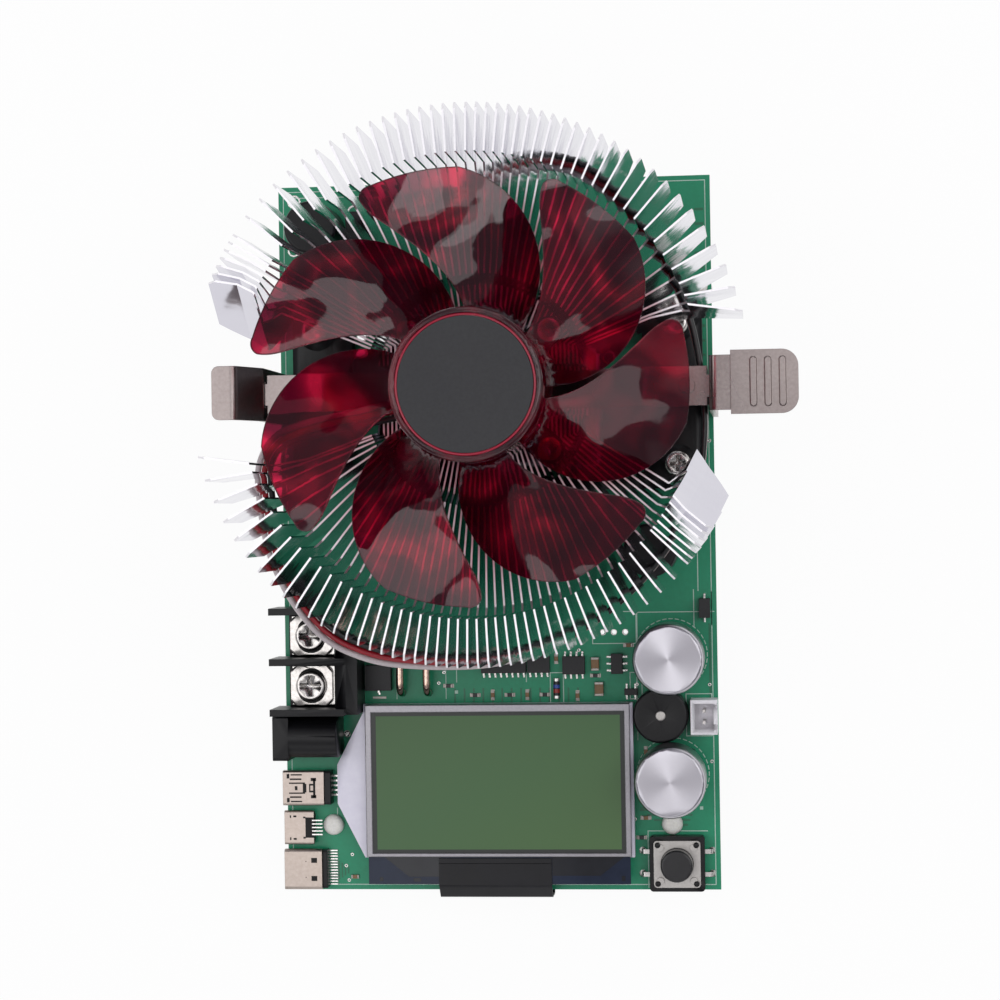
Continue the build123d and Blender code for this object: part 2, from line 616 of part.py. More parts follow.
with BuildPart() as clip_strap:
    with BuildSketch(side_of_board(cooler_x, clip_y)):
        with BuildLine():
            FilletPolyline((-strap_shoulder, strap_end_level), (-strap_slope_half, strap_end_level),
                           (-strap_low_half, strap_low_level), (strap_low_half, strap_low_level),
                           (strap_slope_half, strap_end_level), (strap_shoulder, strap_end_level),
                           radius=strap_bend_radius)
        trace(line_width=strap_thickness)
    extrude(amount=strap_width / 2, both=True)
    with BuildSketch(on_board(cooler_x, clip_y, strap_end_level - strap_thickness / 2)):
        Rectangle(2 * (strap_shoulder + strap_neck_length + strap_head_length), strap_neck_width)
        for side in (-1, 1):
            with Locations((side * (strap_shoulder + strap_neck_length + strap_head_length / 2), 0)):
                Rectangle(strap_head_length, strap_head_width)
        Rectangle(2 * (strap_shoulder - strap_neck_lap), strap_neck_width, mode=Mode.SUBTRACT)
    extrude(amount=strap_thickness)
    with BuildSketch(on_board(cooler_x, clip_y, strap_end_level + strap_thickness / 2)):
        with Locations((strap_shoulder - strap_width / 2, 0)):
            Circle(strap_rivet_radius)
    extrude(amount=strap_rivet_height)
finish(clip_strap.part, "clip_strap")


lever_start = hook_centre + hook_thickness / 2

with BuildPart() as left_clip_hook:
    with BuildSketch(side_of_board(cooler_x, clip_y)):
        with BuildLine():
            FilletPolyline((-hook_centre, hook_foot),
                           (-hook_centre, strap_end_level + left_hook_lean_start),
                           (-hook_centre - left_hook_lean, hook_top),
                           (-lip_reach, hook_top), radius=hook_bend_radius)
        trace(line_width=hook_thickness)
    extrude(amount=hook_width / 2, both=True)
    with BuildSketch(end_of_board(cooler_x - hook_centre - hook_thickness, clip_y)):
        with Locations((0, strap_end_level)):
            Rectangle(strap_neck_width + 2 * hook_window_margin, strap_thickness + 2 * hook_window_margin)
        with Locations((0, lug_level + lug_height / 2)):
            Rectangle(lug_width + 2 * hook_window_margin, lug_height + 2 * hook_window_margin)
    extrude(amount=2 * hook_thickness, mode=Mode.SUBTRACT)
    fillet(left_clip_hook.edges().filter_by(Axis.Z).group_by(Axis.X)[0], hook_end_corner)
finish(left_clip_hook.part, "left_clip_hook")

with BuildPart() as clip_lever:
    with BuildSketch(side_of_board(cooler_x, clip_y)):
        with BuildLine():
            FilletPolyline((hook_centre, hook_foot), (hook_centre, hook_top),
                           (lever_start + lever_band + lever_lap, hook_top), radius=hook_bend_radius)
        trace(line_width=hook_thickness)
    extrude(amount=hook_width / 2, both=True)
    with BuildSketch(on_board(cooler_x, clip_y, hook_top + lever_rise - hook_thickness / 2)):
        with Locations((lever_start + lever_band + lever_tab_length / 2, 0)):
            Rectangle(lever_tab_length, lever_tab_width)
    extrude(amount=hook_thickness)
    fillet(clip_lever.edges().filter_by(Axis.Z).group_by(Axis.X)[-1], lever_tab_corner)
    with BuildSketch(on_board(cooler_x, clip_y, hook_top + lever_rise + hook_thickness / 2)):
        for rib in range(lever_rib_count):
            with Locations((lever_start + lever_band + lever_rib_first + rib * lever_rib_pitch, 0)):
                SlotOverall(lever_rib_length, lever_rib_width, rotation=90)
    extrude(amount=lever_rib_height, taper=lever_rib_taper)
    with BuildSketch(end_of_board(cooler_x + hook_centre - hook_thickness, clip_y)):
        with Locations((0, strap_end_level)):
            Rectangle(strap_neck_width + 2 * hook_window_margin, strap_thickness + 2 * hook_window_margin)
        with Locations((0, lug_level + lug_height / 2)):
            Rectangle(lug_width + 2 * hook_window_margin, lug_height + 2 * hook_window_margin)
    extrude(amount=2 * hook_thickness, mode=Mode.SUBTRACT)
finish(clip_lever.part, "clip_lever")

# Fan motor: bracket on the core, bearing, stator and the rotor that turns about the axis
bracket_top = core_top + bracket_thickness
bearing_tube_radius = sleeve_radius + running_gap + bearing_wall
stator_level = bracket_top + stator_seat_height
cup_radius = hub_radius - hub_wall - running_gap
magnet_outer = cup_radius - cup_wall - running_gap
magnet_inner = magnet_outer - magnet_thickness
roof_level = hub_top - hub_roof

with BuildPart() as fan_bracket:
    with BuildSketch(on_cooler(core_top)):
        Circle(bracket_radius)
        for angle in bracket_arm_angles:
            with Locations(Location(polar(bracket_screw_circle / 2, angle) + (0,), (0, 0, angle))):
                Rectangle(bracket_screw_circle, bracket_arm_width)
            with Locations(polar(bracket_screw_circle, angle)):
                Circle(bracket_arm_width / 2)
        with Locations(*bracket_screw_spots):
            Circle(bracket_screw_radius + 2 * running_gap, mode=Mode.SUBTRACT)
    extrude(amount=bracket_thickness)
    with BuildSketch(on_cooler(bracket_top)):
        Circle(stator_seat_radius)
    extrude(amount=stator_seat_height)
    with BuildSketch(on_cooler(bracket_top)):
        Circle(bearing_tube_radius)
    extrude(amount=bearing_height)
    with BuildSketch(on_cooler(bracket_top)):
        Circle(sleeve_radius + running_gap)
    extrude(amount=bearing_height, mode=Mode.SUBTRACT)
finish(fan_bracket.part, "fan_bracket")

with BuildPart() as bracket_screws:
    with BuildSketch(on_cooler(bracket_top - bracket_screw_depth)):
        with Locations(*bracket_screw_spots):
            Circle(bracket_screw_radius)
    extrude(amount=bracket_screw_depth)
    with BuildSketch(on_cooler(bracket_top)):
        with Locations(*bracket_screw_spots):
            Circle(bracket_screw_head_radius)
    extrude(amount=bracket_screw_head_height)
    with BuildSketch(on_cooler(bracket_top + bracket_screw_head_height)):
        with Locations(*bracket_screw_spots):
            Rectangle(2 * bracket_slot_half, bracket_slot_width)
            Rectangle(bracket_slot_width, 2 * bracket_slot_half)
    extrude(amount=-bracket_slot_depth, mode=Mode.SUBTRACT)
finish(bracket_screws.part, "bracket_screws")

with BuildPart() as bearing_sleeve:
    with BuildSketch(on_cooler(bracket_top)):
        Circle(sleeve_radius)
        Circle(shaft_radius + running_gap, mode=Mode.SUBTRACT)
    extrude(amount=bearing_height)
finish(bearing_sleeve.part, "bearing_sleeve")

with BuildPart() as motor_board:
    with BuildSketch(on_cooler(bracket_top)):
        Circle(motor_board_radius)
        Circle(stator_seat_radius + 2 * running_gap, mode=Mode.SUBTRACT)
    extrude(amount=motor_board_thickness)
finish(motor_board.part, "motor_board")

pole_angles = [360 / pole_count * pole for pole in range(pole_count)]

with BuildPart() as stator_core:
    with BuildSketch(on_cooler(stator_level)):
        Circle(stator_yoke_radius)
        for angle in pole_angles:
            with Locations(Location(polar(stator_radius / 2, angle) + (0,), (0, 0, angle))):
                Rectangle(stator_radius - stator_shoe_depth, stator_pole_width)
        with BuildLine() as shoe:
            CenterArc((0, 0), stator_radius - stator_shoe_depth / 2, -stator_shoe_angle / 2,
                      stator_shoe_angle)
        with PolarLocations(0, pole_count):
            add(trace(shoe.line, line_width=stator_shoe_depth, mode=Mode.PRIVATE))
        Circle(bearing_tube_radius + running_gap, mode=Mode.SUBTRACT)
    extrude(amount=stator_height)
finish(stator_core.part, "stator_core")

coil_inner = stator_yoke_radius + coil_gap
coil_outer = stator_radius - stator_shoe_depth - coil_gap

with BuildPart() as stator_coils:
    for angle in pole_angles:
        spot = Location(polar((coil_inner + coil_outer) / 2, angle) + (0,), (0, 0, angle))
        with BuildSketch(on_cooler(stator_level - coil_thickness)):
            with Locations(spot):
                Rectangle(coil_outer - coil_inner, stator_pole_width + 2 * coil_thickness)
        extrude(amount=stator_height + 2 * coil_thickness)
        with BuildSketch(on_cooler(stator_level - running_gap)):
            with Locations(spot):
                Rectangle(coil_outer, stator_pole_width + 2 * running_gap)
        extrude(amount=stator_height + 2 * running_gap, mode=Mode.SUBTRACT)
finish(stator_coils.part, "stator_coils")

with BuildPart() as fan_shaft:
    with BuildSketch(on_cooler(bracket_top + shaft_end_gap)):
        Circle(shaft_radius)
    extrude(amount=roof_level - bracket_top - shaft_end_gap)
finish(fan_shaft.part, "fan_shaft")

cup_bore_radius = shaft_radius + running_gap / 2

with BuildPart() as rotor_cup:
    with BuildSketch(side_of_board(cooler_x, cooler_y)):
        with BuildLine():
            Polyline((cup_bore_radius, roof_level - cup_boss_height),
                     (shaft_radius + cup_boss_wall, roof_level - cup_boss_height),
                     (shaft_radius + cup_boss_wall, roof_level - cup_wall),
                     (cup_radius - cup_wall, roof_level - cup_wall), (cup_radius - cup_wall, hub_bottom),
                     (cup_radius, hub_bottom), (cup_radius, roof_level), (cup_bore_radius, roof_level),
                     close=True)
        make_face()
    revolve(axis=Axis((axis_x, axis_y, 0), (0, 0, 1)))
finish(rotor_cup.part, "rotor_cup")

with BuildPart() as rotor_magnet:
    with BuildSketch(on_cooler(hub_bottom + magnet_setback)):
        Circle(magnet_outer)
        Circle(magnet_inner, mode=Mode.SUBTRACT)
    extrude(amount=magnet_height)
finish(rotor_magnet.part, "rotor_magnet")

# Blades: a screw-shaped slab, cut to the sickle outline of one blade seen from above
blade_turn = blade_tip_angle - blade_root_angle
blade_rise = (blade_high - blade_low) / blade_turn
blade_middle_angle = (blade_tip_angle + blade_root_angle) / 2
blade_root = hub_radius - blade_root_depth
slab_turn = blade_slab_share * blade_turn


def blade_point(setback, angle):
    """Point of the blade's outline: setback inside the tip circle, angle from the front edge."""
    return polar(blade_radius - setback, blade_phase + angle)


with BuildPart() as blade:
    for step in range(blade_slab_steps + 1):
        turn = slab_turn * (step / blade_slab_steps - 1 / 2)
        angle = blade_phase + blade_middle_angle + turn
        level = board_top + (blade_high + blade_low) / 2 + turn * blade_rise
        radial = polar(1, angle) + (0,)
        along = polar(1, angle + 90) + (0,)
        with BuildSketch(Plane(origin=(0, 0, level), x_dir=radial, z_dir=along)):
            with Locations(((blade_root + blade_radius) / 2, 0)):
                Rectangle(blade_radius - blade_root + blade_slab_margin, blade_thickness)
    loft()
    with BuildSketch(Plane.XY.offset(board_top)):
        with BuildLine():
            tip = blade_point(blade_tip_setback, blade_tip_angle)
            tip_end = blade_point(0, blade_tip_end_angle)
            front_root = polar(blade_root, blade_phase + blade_front_root_angle)
            heel = blade_point(0, blade_heel_angle)
            rear_root = polar(blade_root, blade_phase + blade_root_angle)
            root_middle_angle = (blade_front_root_angle + blade_root_angle) / 2
            ThreePointArc(tip_end, blade_point(blade_tip_round_setback, blade_tip_round_angle), tip)
            Spline(tip, *[blade_point(setback, angle) for angle, setback in reversed(blade_front_edge)],
                   front_root)
            ThreePointArc(front_root, polar(blade_root, blade_phase + root_middle_angle), rear_root)
            ThreePointArc(rear_root, blade_point(blade_rear_setback, blade_rear_angle), heel)
            ThreePointArc(heel, blade_point(0, blade_rim_angle), tip_end)
        make_face()
    extrude(amount=hub_top, mode=Mode.INTERSECT)

hub_ring_radius = hub_radius - hub_rim_width

with BuildPart() as fan_impeller:
    with BuildSketch(side_of_board(cooler_x, cooler_y)):
        with BuildLine():
            Polyline((0, roof_level), (cup_radius + running_gap, roof_level),
                     (cup_radius + running_gap, hub_bottom), (hub_radius, hub_bottom), (hub_radius, hub_top),
                     (hub_ring_radius, hub_top), (hub_ring_radius, hub_top - hub_recess_depth),
                     (0, hub_top - hub_recess_depth), close=True)
        make_face()
    revolve(axis=Axis((axis_x, axis_y, 0), (0, 0, 1)))
    fillet(fan_impeller.edges().group_by(Axis.Z)[-1].sort_by(SortBy.RADIUS)[-1], hub_edge_round)
    with Locations((axis_x, axis_y, 0)):
        with PolarLocations(0, blade_count):
            add(blade.part)
finish(fan_impeller.part, "fan_impeller")

with BuildPart() as hub_disc:
    with BuildSketch(on_cooler(hub_top - hub_recess_depth)):
        Circle(hub_ring_radius - hub_disc_gap)
    extrude(amount=hub_disc_thickness)
finish(hub_disc.part, "hub_disc")

# Fan lead: three wires in a flat band, from the motor out through the left gap between the sheets,
# round under their flared ends, and down to three pads on the board. A route point is radius,
# angle and height of the middle wire, and the roll of the band (0 lies flat, -90 stands on edge).
lead_route = [(11.5, -166.0, 39.7, 0), (20.0, -167.5, 39.2, 0), (29.0, -167.6, 37.2, 0),
              (38.0, -168.5, 34.0, 0), (45.0, -168.0, 30.5, 0), (49.8, -162.5, 27.8, 0),
              (52.8, -154.0, 25.2, 0), (57.0, -144.5, 22.6, -5), (60.3, -134.5, 20.6, -10),
              (62.4, -124.5, 19.6, -10), (61.2, -114.5, 19.4, -20), (58.8, -104.0, 18.6, -40),
              (57.4, -91.0, 17.8, -60), (55.6, -77.5, 17.2, -80), (53.2, -63.5, 17.2, -90),
              (51.2, -50.0, 17.6, -90), (49.8, -36.5, 18.4, -90), (48.4, -22.5, 19.2, -90),
              (46.4, -9.0, 19.8, -90), (45.3, 4.0, 20.0, -90), (45.4, 16.5, 20.0, -95),
              (45.9, 28.0, 21.0, -100), (47.3, 39.0, 24.5, -110), (49.6, 50.0, 28.6, -125),
              (51.3, 61.0, 30.4, -140), (50.8, 71.5, 25.2, -155), (48.6, 80.5, 17.0, -170),
              (46.2, 88.5, 9.2, -180), (44.6, 95.5, 3.6, -180), (43.6, 102.5, 1.2, -180),
              (43.0, 109.0, 0.7, -180)]


def lead_path(place):
    """Centre line of one wire. place is -1, 0 or 1: beside the middle wire, on it, on its other side."""
    points = [Vector(*polar(radius, angle), height) for radius, angle, height, roll in lead_route]
    corners = []
    for index, (radius, angle, height, roll) in enumerate(lead_route):
        run = points[min(index + 1, len(points) - 1)] - points[max(index - 1, 0)]
        right = Vector(run.Y, -run.X, 0).normalized()
        across = right * cos(radians(roll)) + Vector(0, 0, sin(radians(roll)))
        corners.append(points[index] + across * (place * wire_pitch) + Vector(axis_x, axis_y, board_top))
    radii = []
    for before, corner, after in zip(corners, corners[1:], corners[2:]):
        turn = (corner - before).get_angle(after - corner)
        shorter = min((corner - before).length, (after - corner).length)
        radii.append(arc_share * shorter / tan(radians(turn / 2)))
    print("arc radii", round(min(radii), 1), "to", round(max(radii), 1), "mm")
    return FilletPolyline(*corners, radius=radii, mode=Mode.PRIVATE)


for place, colour in ((-1, "black"), (0, "red"), (1, "white")):
    path = lead_path(place)
    with BuildPart() as fan_lead:
        with BuildSketch(Plane(origin=path @ 0, z_dir=path % 0)):
            Circle(wire_radius)
        sweep(path=path)
    print("fan lead", colour, "length", round(path.length, 1), "mm, volume over section",
          round(fan_lead.part.volume / (pi * wire_radius**2), 1), "mm")
    finish(fan_lead.part, f"fan_lead_{colour}")

# Display: light guide on two pads, the glass with its ledge, the bezel and the folded flat cable
backlight_bottom = display_pad_height
glass_bottom = backlight_bottom + backlight_height
ledge_top = glass_bottom + glass_ledge_height
glass_top = glass_bottom + glass_height

with BuildPart() as display_pads:
    with BuildSketch(on_board(display_x, display_y)):
        with GridLocations(bezel_width - 2 * display_pad_width, 0, 2, 1):
            Rectangle(display_pad_width, bezel_length - display_pad_width)
    extrude(amount=display_pad_height)
finish(display_pads.part, "display_pads")

wing_x = -bezel_width / 2 - backlight_reach
wing_start = bezel_length / 2 - backlight_upper_inset

with BuildPart() as display_backlight:
    with BuildSketch(on_board(display_x, display_y, backlight_bottom)):
        Rectangle(bezel_width, bezel_length)
        with BuildLine():
            Polyline((-bezel_width / 2 + backlight_lap, wing_start), (-bezel_width / 2, wing_start),
                     (wing_x, wing_start - backlight_upper_chamfer),
                     (wing_x, backlight_lower_chamfer - bezel_length / 2),
                     (-bezel_width / 2, -bezel_length / 2),
                     (-bezel_width / 2 + backlight_lap, -bezel_length / 2), close=True)
        make_face()
    extrude(amount=backlight_height)
finish(display_backlight.part, "display_backlight")

with BuildPart() as display_glass:
    with BuildSketch(on_board(display_x, display_y - glass_ledge / 2, glass_bottom)):
        Rectangle(glass_width, glass_length + glass_ledge)
    extrude(amount=glass_ledge_height)
    with BuildSketch(on_board(display_x, display_y, glass_bottom)):
        Rectangle(glass_width, glass_length)
    extrude(amount=glass_height)
finish(display_glass.part, "display_glass")

with BuildPart() as display_bezel:
    with BuildSketch(on_board(display_x, display_y, glass_bottom)):
        Rectangle(bezel_width, bezel_length)
    extrude(amount=glass_height + bezel_lip)
    with BuildSketch(on_board(display_x, display_y, glass_bottom)):
        Rectangle(glass_width, glass_length)
    extrude(amount=glass_height, mode=Mode.SUBTRACT)
    with BuildSketch(on_board(display_x, display_y - bezel_length / 2, glass_bottom)):
        Rectangle(glass_width, 4 * bezel_wall)
    extrude(amount=glass_ledge_height, mode=Mode.SUBTRACT)
    with BuildSketch(on_board(display_x + view_offset_x, display_y + view_offset_y, glass_top)):
        Rectangle(bezel_width - 2 * view_border_x, bezel_length - 2 * view_border_y)
    extrude(amount=bezel_lip, mode=Mode.SUBTRACT)
finish(display_bezel.part, "display_bezel")

flex_width = glass_width - 2 * flex_inset

with BuildPart() as display_flex:
    with BuildSketch(end_of_board(flex_x - flex_width / 2)):
        with BuildLine():
            ledge_line = ledge_top + flex_thickness / 2
            under_line = -board_thickness - flex_thickness / 2
            outer_line = front_edge - flex_bulge - flex_thickness / 2
            FilletPolyline((front_edge + flex_lap, ledge_line), (front_edge + flex_shoulder, ledge_line),
                           (outer_line, flex_shoulder_level), (outer_line, under_line),
                           (front_edge + flex_tuck, under_line), radius=flex_bend)
        trace(line_width=flex_thickness)
    extrude(amount=flex_width)
finish(display_flex.part, "display_flex")

with BuildPart() as flex_connector:
    with BuildSketch(on_board(flex_x, front_edge + flex_tuck + connector_depth / 2, -board_thickness)):
        Rectangle(flex_width + 2 * connector_wall, connector_depth)
    extrude(amount=-connector_height)
finish(flex_connector.part, "flex_connector")

# Screw terminal: two bays between three walls, each with a contact bar, a clamp plate and a screw
terminal_length = terminal_left - terminal_right
terminal_middle_x = -(terminal_left + terminal_right) / 2
terminal_middle_y = terminal_first_y - terminal_ways * terminal_pitch / 2
bay_spots = [(-clamp_reach, terminal_first_y - terminal_pitch * (way + 1 / 2))
             for way in range(terminal_ways)]
contact_top = terminal_floor + contact_thickness
clamp_bottom = contact_top + clamp_gap
clamp_top = clamp_bottom + clamp_thickness
contact_left = -terminal_left + contact_setback
contact_right = -terminal_right - terminal_back - running_gap

with BuildPart() as terminal_block:
    with BuildSketch(on_board(terminal_middle_x, terminal_middle_y)):
        Rectangle(terminal_length, terminal_ways * terminal_pitch + terminal_wall)
    extrude(amount=terminal_floor)
    with BuildSketch(on_board(-terminal_right - terminal_back / 2, terminal_middle_y)):
        Rectangle(terminal_back, terminal_ways * terminal_pitch + terminal_wall)
    extrude(amount=terminal_back_height)
    for wall in range(terminal_ways + 1):
        wall_y = terminal_first_y - wall * terminal_pitch + terminal_wall / 2
        with BuildSketch(side_of_board(0, wall_y)):
            with BuildLine():
                Polyline((-terminal_right - terminal_back / 2, 0), (-terminal_left, 0),
                         (-terminal_left, terminal_wall_start),
                         (-terminal_left - terminal_wall_reach, terminal_wall_start),
                         (-terminal_left - terminal_wall_reach, terminal_wall_height),
                         (-terminal_right - terminal_back / 2, terminal_wall_height), close=True)
            make_face()
        extrude(amount=terminal_wall)
    with BuildSketch(on_board(height=terminal_floor)):
        with Locations(*bay_spots):
            Circle(terminal_well_radius)
    extrude(amount=-terminal_well_depth, mode=Mode.SUBTRACT)
    with BuildSketch(on_board()):
        with Locations(*contact_spots):
            Circle(lead_radius + running_gap)
    extrude(amount=terminal_floor, mode=Mode.SUBTRACT)
finish(terminal_block.part, "terminal_block")

with BuildPart() as terminal_contacts:
    with BuildSketch(on_board(height=terminal_floor)):
        with Locations(*[((contact_left + contact_right) / 2, y) for x, y in bay_spots]):
            Rectangle(contact_right - contact_left, contact_width)
        with Locations(*bay_spots):
            Circle(terminal_screw_radius + running_gap, mode=Mode.SUBTRACT)
    extrude(amount=contact_thickness)
    with BuildSketch(on_board(height=terminal_floor)):
        with Locations(*contact_spots):
            Circle(lead_radius)
    extrude(amount=-terminal_floor - lead_depth)
finish(terminal_contacts.part, "terminal_contacts")

for (bay_x, bay_y), pole in zip(bay_spots, ("positive", "negative")):
    with BuildPart() as clamp:
        with BuildSketch(on_board(bay_x, bay_y, clamp_bottom)):
            RectangleRounded(clamp_length, clamp_width, clamp_corner)
            for side in (-1, 1):
                with Locations((0, side * (clamp_width / 2 + clamp_waist_radius - clamp_waist_depth))):
                    Circle(clamp_waist_radius, mode=Mode.SUBTRACT)
            Circle(terminal_screw_radius + running_gap, mode=Mode.SUBTRACT)
        extrude(amount=clamp_thickness)
    finish(clamp.part, f"clamp_plate_{pole}")

    with BuildPart() as screw:
        with BuildSketch(on_board(bay_x, bay_y, clamp_top)):
            Circle(terminal_head_radius)
        extrude(amount=terminal_head_height)
        fillet(screw.edges().group_by(Axis.Z)[-1], terminal_head_round)
        with BuildSketch(on_board(bay_x, bay_y, clamp_top)):
            Circle(terminal_screw_radius)
        extrude(amount=-terminal_screw_length)
        with BuildSketch(on_board(bay_x, bay_y, clamp_top + terminal_head_height)):
            Rectangle(2 * terminal_slot_half, terminal_slot_width)
            Rectangle(terminal_slot_width, 2 * terminal_slot_half)
        extrude(amount=-terminal_slot_depth, mode=Mode.SUBTRACT)
    finish(screw.part, f"terminal_screw_{pole}")

# Round power socket
socket_face = left_edge - power_overhang

with BuildPart() as power_socket:
    with BuildSketch(end_of_board(socket_face, power_y)):
        with Locations((0, power_height / 2)):
            RectangleRounded(power_flange_width, power_height, power_corner)
    extrude(amount=power_flange_length)
    with BuildSketch(end_of_board(socket_face, power_y)):
        with Locations((0, power_axis_height / 2)):
            Rectangle(power_body_width, power_axis_height)
        with Locations((0, power_axis_height)):
            Circle(power_height - power_axis_height)
    extrude(amount=power_flange_length + power_body_length)
    with BuildSketch(end_of_board(socket_face, power_y)):
        with Locations((0, power_axis_height)):
            Circle(power_bore_radius)
    extrude(amount=power_bore_depth, mode=Mode.SUBTRACT)
    with BuildSketch(end_of_board(socket_face + power_bore_depth, power_y)):
        with Locations((0, power_axis_height)):
            Circle(power_pin_radius)
    extrude(amount=power_pin_root, mode=Mode.SUBTRACT)
finish(power_socket.part, "power_socket")

with BuildPart() as power_contacts:
    with BuildSketch(end_of_board(socket_face + power_bore_depth + power_pin_root, power_y)):
        with Locations((0, power_axis_height)):
            Circle(power_pin_radius)
    extrude(amount=-power_pin_length - power_pin_root)
    chamfer(power_contacts.edges().group_by(Axis.X)[0], power_pin_chamfer)
    with BuildSketch(on_board()):
        with Locations(*power_tab_spots):
            Circle(lead_radius)
    extrude(amount=-lead_depth)
finish(power_contacts.part, "power_contacts")

# Three data sockets, each a steel shell with a moulded tongue inside it
mouth_x = left_edge - socket_overhang


def socket_section(width, height, foot, corner):
    """Outline of a socket's mouth as a face: full width on top, foot is the share of it at the bottom."""
    knee = height * socket_knee
    with BuildSketch() as mouth:
        with BuildLine():
            Polyline((-width / 2, height), (-width / 2, knee), (-width / 2 * foot, 0),
                     (width / 2 * foot, 0), (width / 2, knee), (width / 2, height), close=True)
        make_face()
        fillet(mouth.vertices(), corner)
    return mouth.sketch


sections = {name: socket_section(width, height, foot, corner)
            for name, gap, width, depth, height, foot, corner in data_sockets}

for centre_y, (name, gap, width, depth, height, foot, corner) in zip(socket_places, data_sockets):
    with BuildPart() as shell:
        with BuildSketch(end_of_board(mouth_x, centre_y)):
            add(sections[name])
            offset(amount=-shell_wall, mode=Mode.SUBTRACT)
        extrude(amount=depth)
    finish(shell.part, f"{name}_shell")

with BuildPart() as socket_tongues:
    for centre_y, (name, gap, width, depth, height, foot, corner) in zip(socket_places, data_sockets):
        with BuildSketch(end_of_board(mouth_x + depth, centre_y)):
            add(sections[name])
            offset(amount=-shell_wall - running_gap, mode=Mode.REPLACE)
        extrude(amount=-socket_block)
        with BuildSketch(end_of_board(mouth_x + depth, centre_y)):
            with Locations((0, height / 2)):
                Rectangle(width * tongue_share, tongue_thickness)
        extrude(amount=-depth + tongue_setback)
finish(socket_tongues.part, "socket_tongues")

# Push button: base, cover plate, cap and four leads
cap_seat = switch_height - button_flange_thickness
with BuildPart() as switch_base:
    with BuildSketch(on_board(switch_x, switch_y)):
        RectangleRounded(switch_size, switch_size, switch_corner)
    extrude(amount=switch_height)
    with BuildSketch(on_board(switch_x, switch_y, switch_height)):
        Circle(button_flange_radius + button_gap)
    extrude(amount=-button_flange_thickness - button_travel - button_gap, mode=Mode.SUBTRACT)
finish(switch_base.part, "switch_base")

rivet_pitch = switch_cover_size - 2 * switch_rivet_inset

with BuildPart() as switch_cover:
    with BuildSketch(on_board(switch_x, switch_y, switch_height)):
        RectangleRounded(switch_cover_size, switch_cover_size, switch_corner)
        Circle(button_radius + button_gap, mode=Mode.SUBTRACT)
    extrude(amount=switch_cover_thickness)
    with BuildSketch(on_board(switch_x, switch_y, switch_height + switch_cover_thickness)):
        with GridLocations(rivet_pitch, rivet_pitch, 2, 2):
            Circle(switch_rivet_radius)
    extrude(amount=switch_cover_thickness)
finish(switch_cover.part, "switch_cover")

with BuildPart() as mode_button:
    with BuildSketch(on_board(switch_x, switch_y, cap_seat - button_gap / 2)):
        Circle(button_flange_radius)
    extrude(amount=button_flange_thickness)
    with BuildSketch(on_board(switch_x, switch_y, cap_seat)):
        Circle(button_radius)
    extrude(amount=button_top - cap_seat)
    fillet(mode_button.edges().group_by(Axis.Z)[-1], button_round)
finish(mode_button.part, "mode_button")

with BuildPart() as switch_leads:
    for side_x in (-1, 1):
        for side_y in (-1, 1):
            lead_y = switch_y + side_y * switch_lead_pitch / 2 + switch_lead_width / 2
            with BuildSketch(side_of_board(switch_x, lead_y)):
                with BuildLine():
                    FilletPolyline((side_x * switch_size / 2, switch_lead_level),
                                   (side_x * switch_lead_reach, switch_lead_level),
                                   (side_x * switch_lead_reach, -lead_depth), radius=switch_lead_bend)
                trace(line_width=switch_lead_thickness)
            extrude(amount=switch_lead_width)
finish(switch_leads.part, "switch_leads")

# Two adjusting potentiometers, each with a D-shaped shaft and an aluminium knob
knob_top = knob_bottom + knob_height
shaft_top = knob_top - knob_wall - running_gap

with BuildPart() as potentiometers:
    for centre_y in (coarse_y, fine_y):
        with BuildSketch(on_board(knob_x, centre_y)):
            RectangleRounded(pot_width, pot_length, pot_corner)
        extrude(amount=pot_height)
        with BuildSketch(on_board(knob_x, centre_y, pot_height)):
            Circle(pot_neck_radius)
        extrude(amount=pot_neck_height)
        with BuildSketch(on_board(knob_x, centre_y, pot_height + pot_neck_height)):
            Circle(pot_shaft_radius + running_gap)
        extrude(amount=-pot_neck_height, mode=Mode.SUBTRACT)
    with BuildSketch(on_board()):
        with Locations(*pot_pin_spots):
            Circle(lead_radius)
    extrude(amount=-lead_depth)
finish(potentiometers.part, "potentiometers")


def shaft_section(radius, flat):
    """Round section with one flat, for a shaft or the bore that takes it."""
    Circle(radius)
    with Locations((0, -radius + flat / 2)):
        Rectangle(2 * radius, flat, mode=Mode.SUBTRACT)


for centre_y, name in ((coarse_y, "coarse"), (fine_y, "fine")):
    with BuildPart() as pot_shaft:
        with BuildSketch(on_board(knob_x, centre_y, pot_height + running_gap)):
            Circle(pot_shaft_radius)
        extrude(amount=pot_neck_height)
        with BuildSketch(on_board(knob_x, centre_y, pot_height + pot_neck_height)):
            shaft_section(pot_shaft_radius, pot_shaft_flat)
        extrude(amount=shaft_top - pot_height - pot_neck_height)
    finish(pot_shaft.part, f"{name}_shaft")

    with BuildPart() as knob:
        with BuildSketch(on_board(knob_x, centre_y, knob_bottom)):
            Circle(knob_radius)
        extrude(amount=knob_height)
        chamfer(knob.edges().group_by(Axis.Z)[-1], knob_chamfer)
        with BuildSketch(on_board(knob_x, centre_y, knob_bottom)):
            Circle(knob_radius - knob_wall)
        extrude(amount=knob_hollow, mode=Mode.SUBTRACT)
        with BuildSketch(on_board(knob_x, centre_y, pot_height + pot_neck_height + knob_boss_gap)):
            Circle(knob_boss_radius)
        extrude(amount=knob_bottom + knob_hollow - pot_height - pot_neck_height - knob_boss_gap)
        with BuildSketch(on_board(knob_x, centre_y, knob_bottom)):
            shaft_section(pot_shaft_radius + running_gap, pot_shaft_flat)
        extrude(amount=knob_height - knob_wall, mode=Mode.SUBTRACT)
    finish(knob.part, f"{name}_knob")

